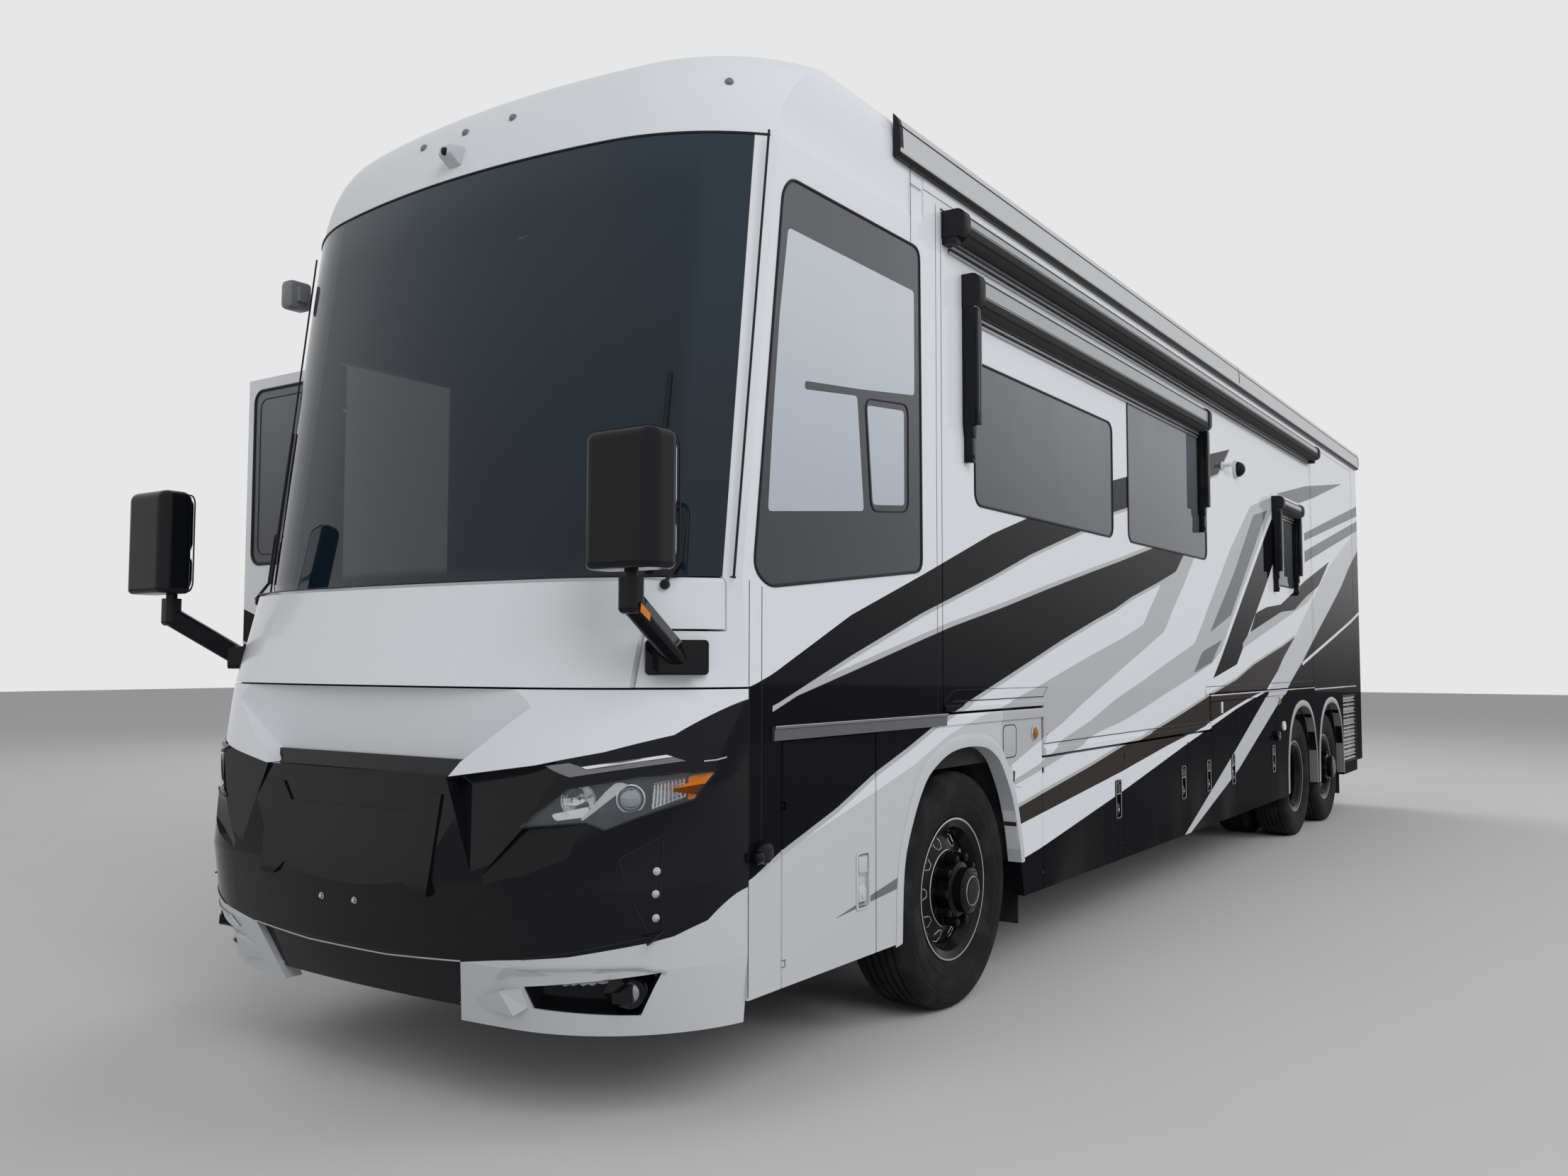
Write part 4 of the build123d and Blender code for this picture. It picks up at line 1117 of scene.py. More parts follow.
    def mirror(self) -> "Form":
        """Adds its reflection on the other side of the middle line.

        Returns:
            This form.
        """
        copy = bmesh.ops.duplicate(self.bm, geom=self.bm.verts[:] + self.bm.edges[:] + self.bm.faces[:])
        verts = [item for item in copy["geom"] if isinstance(item, bmesh.types.BMVert)]
        faces = [item for item in copy["geom"] if isinstance(item, bmesh.types.BMFace)]
        bmesh.ops.scale(self.bm, vec=Vector((1, -1, 1)), verts=verts)
        bmesh.ops.reverse_faces(self.bm, faces=faces)
        return self


def rounded(x0: float, x1: float, z0: float, z1: float, radius: float, steps: int = 5) -> list[tuple[float, float]]:
    """A rectangle with rounded corners, as points round it.

    Args:
        x0: Its low first value.
        x1: Its high first value.
        z0: Its low second value.
        z1: Its high second value.
        radius: The corners' radius.
        steps: Segments of a corner.

    Returns:
        The points.
    """
    points = []
    low, high = (x0 + radius, z0 + radius), (x1 - radius, z1 - radius)
    for quarter, (x, z) in enumerate((high, (low[0], high[1]), low, (high[0], low[1]))):
        for step in range(steps + 1):
            angle = math.radians(90 * quarter + 90 * step / steps)
            points.append((x + radius * math.cos(angle), z + radius * math.sin(angle)))
    return points


def softened(outline: Rows, radius: float, steps: int = 4) -> list[tuple[float, float]]:
    """An outline whose corners are rounded.

    Args:
        outline: Its corners.
        radius: Reach of a rounding along each side, less on short sides.
        steps: Segments of a corner.

    Returns:
        The points.
    """
    points = []
    for place in range(len(outline)):
        before, here, after = (Vector(outline[(place + shift) % len(outline)]) for shift in (-1, 0, 1))
        reach = min(radius, (before - here).length * 0.45, (after - here).length * 0.45)
        start = here + (before - here).normalized() * reach
        end = here + (after - here).normalized() * reach
        for step in range(steps + 1):
            t = step / steps
            point = start * (1 - t) ** 2 + here * 2 * t * (1 - t) + end * t**2
            points.append((point.x, point.y))
    return points


def middle_of(outline: Rows) -> Vector:
    """The mean of an outline's corners."""
    return Vector((sum(y for y, _ in outline), sum(z for _, z in outline))) / len(outline)


class Skin:
    """Finds points on the outer surface of some nodes."""

    def __init__(self, frame: Frame, *names: str) -> None:
        """Gathers the nodes' faces.

        Args:
            frame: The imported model.
            names: The nodes.
        """
        points: list[Vector] = []
        faces: list[tuple[int, ...]] = []
        shift = Vector(frame.offset)
        for name in names:
            mesh = frame.nodes[name].data
            base = len(points)
            points.extend(vert.co - shift for vert in mesh.vertices)
            faces.extend(tuple(base + index for index in face.vertices) for face in mesh.polygons)
        self.tree = BVHTree.FromPolygons(points, faces)

    def front(self, y: float, z: float, lift: float = 0.0) -> Vector:
        """The point that is seen from the front at a width and height, or the nearest beside the surface.

        Args:
            y: Width.
            z: Height.
            lift: Distance off the surface.

        Returns:
            The point.
        """
        point, normal, _, _ = self.tree.ray_cast(Vector((4.0, y, z)), Vector((-1.0, 0.0, 0.0)))
        if point is None:
            near, normal, _, _ = self.tree.find_nearest(Vector((2.1, y, z)))
            point = Vector((near.x, y, z))
        return point + normal * lift

    def line(self, path: Rows, lift: float = 0.0, step: float = 0.03, closed: bool = False) -> list[Vector]:
        """A path on the surface from its width and height points.

        Args:
            path: Width and height of the corners.
            lift: Distance off the surface.
            step: Longest run between its points.
            closed: Whether it ends where it starts.

        Returns:
            The points.
        """
        corners = list(path) + ([path[0]] if closed else [])
        flat: list[tuple[float, float]] = []
        for (y0, z0), (y1, z1) in zip(corners, corners[1:]):
            runs = max(1, math.ceil(math.hypot(y1 - y0, z1 - z0) / step))
            flat.extend((y0 + (y1 - y0) * n / runs, z0 + (z1 - z0) * n / runs) for n in range(runs))
        if not closed:
            flat.append(corners[-1])
        return [self.front(y, z, lift) for y, z in flat]

    def studs(self, form: Form, spots: Rows, rows: Rows, sides: int) -> Form:
        """Adds turned studs, each square to the surface.

        Args:
            form: Where they go.
            spots: Width and height of each.
            rows: Radius and height of a stud's rings.
            sides: Segments round a stud.

        Returns:
            The form.
        """
        for y, z in spots:
            base = self.front(y, z)
            form.lathe(rows, base, self.front(y, z, 0.01) - base, sides)
        return form


@dataclass
class Shop:
    """Turns forms into pieces that ride on the frame."""

    frame: Frame
    finishes: Finishes
    triangles: int = 0

    def piece(
        self, form: Form, name: str, finish: bpy.types.Material, slot: str, sharp: float = 32.0, body: str = "coach",
    ) -> bpy.types.Object:
        """Ends a form as a piece.

        Args:
            form: The form, which is used up.
            name: The piece's name.
            finish: Its material.
            slot: The record's slot of the piece; not used.
            sharp: Angle in degrees above which an edge stays sharp.
            body: The body that it rides on.

        Returns:
            The new object.
        """
        bmesh.ops.recalc_face_normals(form.bm, faces=form.bm.faces[:])
        bmesh.ops.translate(form.bm, vec=Vector(self.frame.offset), verts=form.bm.verts[:])
        mesh = bpy.data.meshes.new(name)
        form.bm.to_mesh(mesh)
        form.bm.free()
        mesh.polygons.foreach_set("use_smooth", [True] * len(mesh.polygons))
        mesh.set_sharp_from_angle(angle=math.radians(sharp))
        mesh.materials.append(finish)
        made = bpy.data.objects.new(name, mesh)
        bpy.context.scene.collection.objects.link(made)
        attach(made, body)
        count = sum(len(face.vertices) - 2 for face in mesh.polygons)
        self.triangles += count
        LOG.info("%s: %d triangles on %s", name, count, body)
        return made


@dataclass(frozen=True)
class Dress:
    """The pieces that dress one sub-assembly."""

    shop: Shop

    @property
    def looks(self) -> Finishes:
        """The finishes."""
        return self.shop.finishes

    def skin(self, *names: str) -> Skin:
        """The outer surface of some nodes."""
        return Skin(self.shop.frame, *names)


# Wheels


@dataclass(frozen=True)
class TyreSet(Dress):
    """Tyres with a ribbed tread, sipes on the shoulders and moulded rings on the sidewalls."""

    segments: int = 120
    depth: float = 0.011
    mouth: float = 0.0065
    bottom: float = 0.0045
    sipe: float = 0.0028
    shoulder: tuple[float, float] = (0.503, 0.099)
    profile: Outline = (
        (0.2851, -0.109), (0.300, -0.112), (0.314, -0.113), (0.322, -0.119), (0.332, -0.127), (0.350, -0.1345),
        (0.368, -0.139), (0.372, -0.1415), (0.378, -0.1415), (0.382, -0.1405), (0.404, -0.1455), (0.412, -0.147),
        (0.432, -0.1465), (0.436, -0.1468), (0.441, -0.1445), (0.458, -0.143), (0.462, -0.1438), (0.467, -0.1405),
        (0.474, -0.139), (0.478, -0.1395), (0.483, -0.136), (0.496, -0.130), (0.5035, -0.1235), (0.5115, -0.110),
        (0.5145, -0.100),
    )
    grooves: tuple[float, ...] = (-0.074, -0.037, 0.0, 0.037, 0.074)

    def build(self) -> None:
        """Adds the six sets, each in place of its node."""
        for axle, x in AXLES.items():
            for side, s in SIDES.items():
                form = Form()
                for y in (WHEEL_Y, TWIN_Y) if axle == "drive" else (WHEEL_Y,):
                    self._tyre(form, (x, s * y, TYRE_RADIUS), s)
                node, body = f"tyre_{axle}_{side}", f"wheel_{axle}_{side}"
                tyre = self.shop.piece(form, f"{node}_tread", self.looks.tyre, "tyre_black", 40.0, body)
                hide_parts(node)

    def _tyre(self, form: Form, centre: Point, s: int) -> None:
        """Adds one tyre.

        Args:
            form: Where it goes.
            centre: Its middle.
            s: The side that its outer face looks to.
        """
        rows = list(self.profile)
        deep = TYRE_RADIUS - self.depth
        for place in self.grooves:
            rows += [
                (TYRE_RADIUS, place - self.mouth), (deep, place - self.bottom),
                (deep, place + self.bottom), (TYRE_RADIUS, place + self.mouth),
            ]
        rows += [(radius, -height) for radius, height in reversed(self.profile)]
        start = len(form.bm.verts)
        form.lathe(rows, centre, (0.0, float(s), 0.0), self.segments)
        form.bm.verts.ensure_lookup_table()
        for row, (radius, height) in enumerate(rows):
            if radius > self.shoulder[0] and abs(height) > self.shoulder[1]:
                for count in range(0, self.segments, 2):
                    vert = form.bm.verts[start + row * self.segments + count]
                    spoke = Vector((vert.co.x - centre[0], 0.0, vert.co.z - centre[2]))
                    vert.co -= spoke.normalized() * self.sipe


@dataclass(frozen=True)
class WheelTrim(Dress):
    """Bright hand-hole rims, nut caps and hub rings of the wheels, with bulging or deep discs."""

    holes: int = 10
    circle: float = 0.212
    hole: float = 0.02915
    nut_circle: float = 0.143
    foot: float = 0.165
    lift: float = 0.0005
    bulging: tuple[float, float] = (0.090, -0.040 / 0.087)
    deep: tuple[float, float] = (-0.078, 0.020 / 0.097)
    hub_bolts: int = 8

    def build(self) -> None:
        """Dresses the six wheels."""
        for axle, x in AXLES.items():
            for side, s in SIDES.items():
                for dress in (self._bright, self._caps):
                    dress(f"wheel_{axle}_{side}", (x, s * WHEEL_Y, TYRE_RADIUS), s, axle != "drive")

    def _spot(self, centre: Point, s: int, radius: float, angle: float, height: float) -> Vector:
        """A point on the wheel from its radius, angle and height over the middle plane."""
        return Vector(centre) + Vector((radius * math.cos(angle), s * height, radius * math.sin(angle)))

    def _bright(self, body: str, centre: Point, s: int, bulges: bool) -> None:
        """Adds the bright edges.

        Args:
            body: The wheel's body.
            centre: The wheel's middle.
            s: Its side.
            bulges: Whether its disc bulges.
        """
        form = Form()
        base, slope = self.bulging if bulges else self.deep
        for count in range(self.holes):
            path = []
            for corner in range(6):
                turn = math.pi * corner / 3 + math.pi / 6
                radius = self.circle + self.hole * math.cos(turn)
                angle = 2 * math.pi * count / self.holes + self.hole * math.sin(turn) / self.circle
                height = base + (radius - self.foot) * slope + self.lift
                path.append(self._spot(centre, s, radius, angle, height))
            dense = [a.lerp(b, t) for a, b in zip(path, path[1:] + path[:1]) for t in (0.0, 0.15, 0.5, 0.85)]
            form.tube(dense, 0.0022, 6, True)
        rings = [(((0.3005, 0.1185), (0.3060, 0.1205), (0.3095, 0.1190), (0.3060, 0.1175)), 96)]
        if bulges:
            rings += [
                (((0.1655, 0.0885), (0.1680, 0.0905), (0.1705, 0.0885), (0.168, 0.0875)), 72),
                (((0.060, 0.2118), (0.0620, 0.2135), (0.0640, 0.2118), (0.0620, 0.2105)), 64),
            ]
        for rows, sides in rings:
            form.lathe(rows, centre, (0.0, float(s), 0.0), sides, True)
        self.shop.piece(form, f"{body}_bright_edges", self.looks.chrome, "trim_chrome", 50.0, body)

    def _caps(self, body: str, centre: Point, s: int, bulges: bool) -> None:
        """Adds nut caps, the hub's bolts and its plain face.

        Args:
            body: The wheel's body.
            centre: The wheel's middle.
            s: Its side.
            bulges: Whether its disc bulges.
        """
        form = Form()
        base = (self.bulging if bulges else self.deep)[0] + self.lift
        axis = (0.0, float(s), 0.0)
        nut = (
            (0.0, 0.0), (0.0235, 0.0), (0.0235, 0.006), (0.0195, 0.010), (0.0195, 0.058), (0.0165, 0.069),
            (0.009, 0.0735), (0.0, 0.0745),
        )
        for count in range(self.holes):
            angle = 2 * math.pi * count / self.holes
            form.lathe(nut, self._spot(centre, s, self.nut_circle, angle, base), axis, 18)
        if bulges:
            for count in range(self.hub_bolts):
                angle = 2 * math.pi * (count + 0.5) / self.hub_bolts
                head = self._spot(centre, s, 0.0845, angle, 0.2025)
                form.rod(head, head + Vector(axis) * 0.006, 0.0055, None, 6, 0.001)
            form.lathe(((0.0, 0.2135), (0.040, 0.2135), (0.062, 0.2125), (0.064, 0.2115)), centre, axis, 48)
            form.lathe(((0.110, 0.118), (0.121, 0.120), (0.121, 0.128), (0.110, 0.130)), centre, axis, 48)
        self.shop.piece(form, f"{body}_caps", self.looks.wheel, "wheel_black", 38.0, body)


# Nose


@dataclass(frozen=True)
class Headlamps(Dress):
    """Reflectors, projector, light bar, side lamp and housing behind each headlamp's lens."""

    outline: Outline = (
        (0.803, 0.992), (0.942, 1.117), (1.121, 1.155), (1.253, 1.165), (1.222, 1.072), (1.127, 1.027),
        (1.047, 0.985), (0.998, 1.010),
    )
    axis: Point = (0.78, 0.62, 0.02)
    projector: tuple[float, float] = (1.103, 1.083)
    bowl: tuple[float, float] = (0.975, 1.078)
    lens: float = 0.0385
    lens_bulge: float = 0.62
    runs: int = 8

    def build(self) -> None:
        """Builds the left lamp's pieces, each with its reflection on the right."""
        skin = self.skin("headlamps")
        self._housing(skin)
        self._bright(skin)
        self._projector(skin)
        self._glow(skin)
        self._amber(skin)
        seal = Form().tube(self.skin("mask", "headlamps").line(self.outline, 0.0008, 0.02, True), 0.0032, 6, True)
        self.shop.piece(seal.mirror(), "headlamp_seals", self.looks.satin, "gloss_black", 60.0)

    def _sunk(self, skin: Skin, y: float, z: float, depth: float) -> Vector:
        """A point behind the lens by a depth along the lamp's axis."""
        return skin.front(y, z) - Vector(self.axis).normalized() * depth

    def _plate(self, form: Form, skin: Skin, outline: Rows, depth: float, thick: float) -> None:
        """Adds a plate behind the lens.

        Args:
            form: Where it goes.
            skin: The lens.
            outline: Width and height of its corners.
            depth: How far its face lies behind the lens.
            thick: Its thickness.
        """
        face = [self._sunk(skin, y, z, depth) for y, z in outline]
        form.slab(face, Vector(self.axis).normalized() * -thick)

    def _housing(self, skin: Skin) -> None:
        """Adds the dark bowl that closes the lamp's opening.

        Args:
            skin: The lens.
        """
        form = Form()
        middle = middle_of(self.outline)
        dense = [
            Vector(start).lerp(Vector(end), n / self.runs)
            for start, end in zip(self.outline, self.outline[1:] + self.outline[:1]) for n in range(self.runs)
        ]
        rings = []
        for shrink, depth in ((0.975, 0.018), (0.955, 0.060), (0.80, 0.105), (0.5, 0.115)):
            ring = []
            for point in dense:
                near, here = (middle + (point - middle) * share for share in (0.97, shrink))
                ring.append((skin.front(near.x, near.y).x - depth / 0.8, here.x, here.y))
            rings.append(form.row(ring))
        form.bridge(rings)
        form.bm.faces.new(rings[-1])
        self.shop.piece(form.mirror(), "headlamp_housings", self.looks.smoke, "lamp_glass", 30.0)

    def _bright(self, skin: Skin) -> None:
        """Adds the chrome bowls, rings, diagonal bar and ribbed side reflector.

        Args:
            skin: The lens.
        """
        form = Form()
        rows = ((0.0395, 0.030), (0.0425, 0.036), (0.0465, 0.034), (0.0485, 0.026), (0.0465, -0.020), (0.0395, -0.020))
        form.lathe(rows, self._sunk(skin, *self.projector, 0.050), self.axis, 48, True)
        bowl = self._sunk(skin, *self.bowl, 0.078)
        cup = tuple((0.004 + 0.048 * t, 0.040 * t**2) for t in (0.0, 0.15, 0.3, 0.45, 0.6, 0.75, 0.9, 1.0))
        form.lathe(cup + ((0.055, 0.044), (0.055, 0.034)), bowl, self.axis, 22)
        for inset in (0.0, 0.007, 0.014):
            rows = ((0.0525 - inset, 0.052 - inset), (0.0545 - inset, 0.053 - inset), (0.0545 - inset, 0.046 - inset))
            form.lathe(rows, bowl, self.axis, 40, True)
        bar = [(0.984, 1.019), (0.992, 1.017), (1.098, 1.127), (1.081, 1.134), (1.066, 1.133), (1.045, 1.108)]
        self._plate(form, skin, bar, 0.020, 0.030)
        for t in (count / 8 for count in range(9)):
            ends = ((1.150 + 0.058 * t, 1.049 + 0.033 * t), (1.152 + 0.052 * t, 1.124 + 0.017 * t))
            form.tube([self._sunk(skin, *end, 0.024) for end in ends], 0.0042, 8)
        for t in (count / 4 for count in range(5)):
            ends = ((1.150, 1.050 + 0.072 * t), (1.206, 1.085 + 0.054 * t))
            form.tube([self._sunk(skin, *end, 0.029) for end in ends], 0.0035, 6)
        self._plate(form, skin, [(1.146, 1.046), (1.212, 1.082), (1.208, 1.144), (1.148, 1.128)], 0.040, 0.004)
        self.shop.piece(form.mirror(), "headlamp_reflectors", self.looks.mirror, "trim_chrome", 25.0)

    def _projector(self, skin: Skin) -> None:
        """Adds the projector's round lens.

        Args:
            skin: The lens in front of it.
        """
        high = self.lens * self.lens_bulge
        rows = tuple((self.lens * math.cos(a), high * math.sin(a)) for a in (0.0, 0.35, 0.7, 1.05, 1.35))
        form = Form().lathe(rows + ((0.0, high),), self._sunk(skin, *self.projector, 0.030), self.axis, 40)
        self.shop.piece(form.mirror(), "headlamp_projectors", self.looks.bulb, "lamp_glass", 60.0)

    def _glow(self, skin: Skin) -> None:
        """Adds the frosted light bar at the lamp's lower inner edge.

        Args:
            skin: The lens.
        """
        form = Form()
        bar = softened([(0.900, 1.034), (1.008, 1.060), (0.998, 1.027), (0.915, 1.014)], 0.012)
        self._plate(form, skin, bar, 0.022, 0.022)
        self._plate(form, skin, softened([(0.925, 1.068), (0.985, 1.074), (0.975, 1.062)], 0.008), 0.026, 0.01)
        self.shop.piece(form.mirror(), "headlamp_light_bars", self.looks.frosted, "lamp_glass", 30.0)

    def _amber(self, skin: Skin) -> None:
        """Adds the amber side lamp at the outer end.

        Args:
            skin: The lens.
        """
        lamp = softened([(1.205, 1.150), (1.246, 1.162), (1.239, 1.117), (1.223, 1.078), (1.206, 1.070)], 0.008)
        middle = middle_of(lamp)
        pulled = [middle + (Vector(point) - middle) * 0.95 for point in lamp]
        face = [skin.front(*point) + Vector((-0.020, -0.003, 0.0)) for point in pulled]
        form = Form().slab(face, (-0.02, -0.004, 0.0))
        self.shop.piece(form.mirror(), "headlamp_side_lamps", self.looks.amber, "lamp_glass", 30.0)


@dataclass(frozen=True)
class NoseTrim(Dress):
    """Light strips over the lamps, screws and edges of the mask, ledges and fog lamps of the bumper."""

    strip: Outline = (
        (0.865, 1.183), (0.944, 1.196), (0.979, 1.184), (1.167, 1.220), (1.203, 1.199), (0.949, 1.152),
    )
    light: Outline = ((0.979, 1.184), (1.167, 1.220), (1.179, 1.213), (0.992, 1.177))
    screws: Outline = (
        (-0.106, 0.695), (0.076, 0.698), (1.164, 0.857), (1.163, 0.787), (1.160, 0.711),
        (-1.164, 0.857), (-1.163, 0.787), (-1.160, 0.711),
    )
    niche: Outline = ((1.085, 0.899), (1.173, 0.964), (1.171, 0.637), (1.144, 0.652), (1.085, 0.899))
    ledge: Outline = ((0.750, 0.569), (0.95, 0.606), (1.136, 0.651), (1.171, 0.640))
    pocket: Outline = ((0.791, 0.488), (1.163, 0.536), (1.097, 0.397), (0.798, 0.414))
    inset: float = 0.006
    columns: int = 14
    fog_turn: float = 35.0
    fog_lamp: Point = (1.990, 1.061, 0.472)

    def build(self) -> None:
        """Builds the trim of mask and bumper."""
        mask = self.skin("mask", "headlamps", "nose_panel")
        self._strips(mask)
        self._lines(mask)
        head = (
            (0.0, 0.0), (0.0125, 0.0), (0.0125, 0.002), (0.0085, 0.003), (0.0078, 0.008), (0.005, 0.0105),
            (0.0, 0.011),
        )
        form = mask.studs(Form(), self.screws, head, 16)
        self.shop.piece(form, "mask_screws", self.looks.chrome, "trim_chrome")
        bumper = self.skin("bumper", "mask")
        self._ledge(bumper)
        self._wedge(bumper)
        self._pocket(self.skin("bumper"))
        self._fog_lamp()

    def _strips(self, skin: Skin) -> None:
        """Adds the grey light panels, their bright strips and tips.

        Args:
            skin: The mask's surface.
        """
        for name, outline, high, low, finish, slot in (
            ("panels", self.strip, 0.0095, -0.004, self.looks.slate_trim, "gloss_black"),
            ("lights", self.light, 0.0120, 0.001, self.looks.frosted, "lamp_glass"),
        ):
            face, back = (skin.line(outline, lift, closed=True) for lift in (high, low))
            self.shop.piece(Form().skin(face, back).mirror(), f"lamp_strip_{name}", finish, slot, 30.0)
        tip = skin.line([(1.232, 1.196), (1.250, 1.198), (1.262, 1.205)], 0.002, 0.01)
        self.shop.piece(Form().tube(tip, 0.003).mirror(), "lamp_strip_tips", self.looks.chrome, "trim_chrome")

    def _lines(self, skin: Skin) -> None:
        """Adds a silver line along the mask's lower edge, a painted highlight where the edge catches light, and the
        edges of its niches.

        Args:
            skin: The mask's surface.
        """
        # Silver tube: painted highlight of the mask's lower bevel.
        low = skin.line([(-0.561, 0.548), (-0.214, 0.528), (0.214, 0.528), (0.561, 0.548)], 0.001)
        self.shop.piece(Form().tube(low, 0.0030, 6), "mask_lower_highlight", self.looks.silver, "trim_chrome", 60.0)
        form = Form()
        for path in (self.niche, self.ledge):
            form.tube(skin.line(path, 0.001), 0.0028, 6)
        self.shop.piece(form.mirror(), "mask_niche_edges", self.looks.satin, "gloss_black", 60.0)

    def _ledge(self, skin: Skin) -> None:
        """Adds the bumper's raised ledge.

        Args:
            skin: The bumper's surface.
        """
        high = [(0.705, 0.512), (0.750, 0.546), (0.900, 0.556), (1.050, 0.562), (1.125, 0.560), (1.170, 0.540)]
        low = [(0.705, 0.500), (0.750, 0.518), (0.900, 0.532), (1.050, 0.545), (1.125, 0.550), (1.172, 0.536)]
        front, back = skin.line(high, 0.012), skin.line(low)
        count = min(len(front), len(back))
        form = Form().slab(front[:count] + back[:count][::-1], (-0.006, -0.003, 0.0))
        self.shop.piece(form.mirror(), "bumper_edges", self.looks.frost, "body_white", 18.0)

    def _wedge(self, skin: Skin) -> None:
        """Adds the faceted wedge beside each fog lamp pocket.

        Args:
            skin: The bumper's surface.
        """
        corner, crest, foot, end_top, end_low = (
            skin.front(y, z, lift) for y, z, lift in (
                (0.478, 0.388, 0.0005), (0.714, 0.479, 0.026), (0.742, 0.398, 0.026), (0.784, 0.482, 0.003),
                (0.788, 0.418, 0.003),
            )
        )
        form = Form()
        for facet in ((corner, foot, crest), (crest, foot, end_low, end_top)):
            form.slab(facet, (-0.024, -0.010, 0.0))
        self.shop.piece(form.mirror(), "bumper_wedges", self.looks.frost, "body_white", 4.0)

    def _pocket(self, skin: Skin) -> None:
        """Adds the black liners of the fog lamp pockets.

        Args:
            skin: The bumper's surface, pockets too.
        """
        form = Form()
        top_in, top_out, low_out, low_in = self.pocket
        floor, rim_top, rim_low = [], [], []
        for t in (count / self.columns for count in range(self.columns + 1)):
            y_top = top_in[0] + self.inset + (top_out[0] - top_in[0] - 2.4 * self.inset) * t
            y_low = low_in[0] + self.inset + (low_out[0] - low_in[0] - 2.4 * self.inset) * t
            z_top = top_in[1] + (top_out[1] - top_in[1]) * t - 0.0015
            z_low = low_in[1] + (low_out[1] - low_in[1]) * t + 0.0015
            row = []
            for share in (0.0, 0.33, 0.67, 1.0):
                y, z = y_low + (y_top - y_low) * share, z_low + (z_top - z_low) * share
                near = skin.front(y, min(max(z, z_low + self.inset), z_top - self.inset), 0.0015)
                row.append((near.x, y, z))
            floor.append(form.row(row))
            for rim, y, z, step in ((rim_top, y_top, z_top, 0.010), (rim_low, y_low, z_low, -0.010)):
                rim += form.row([(skin.front(y, z + step).x - 0.003, y, z)])
        form.bridge(floor, ring=False)
        form.bridge([[row[-1] for row in floor], rim_top], ring=False)
        form.bridge([[row[0] for row in floor], rim_low], ring=False)
        for end in (0, -1):
            form.bm.faces.new((*floor[end], rim_top[end], rim_low[end]))
        self.shop.piece(form.mirror(), "fog_pockets", self.looks.black, "gloss_black", 25.0)

    def _fog_lamp(self) -> None:
        """Adds the fog lamps' rings and lenses."""
        turn = math.radians(self.fog_turn)
        axis = (math.cos(turn), math.sin(turn), 0.0)
        centre = Vector(self.fog_lamp) + Vector(axis) * 0.030
        section = (
            (0.0465, -0.056), (0.0490, -0.056), (0.0490, 0.005), (0.0450, 0.009), (0.0330, 0.005), (0.0315, 0.002),
            (0.0465, 0.001),
        )
        rings = Form().lathe(section, centre, axis, 40, True)
        self.shop.piece(rings.mirror(), "fog_lamp_rings", self.looks.black, "gloss_black", 40.0)
        rows = ((0.0325, 0.002), (0.030, 0.006), (0.022, 0.009), (0.012, 0.011), (0.0, 0.0115))
        glass = Form().lathe(rows, centre, axis, 36)
        self.shop.piece(glass.mirror(), "fog_lamp_lenses", self.looks.bulb, "lamp_glass", 60.0)


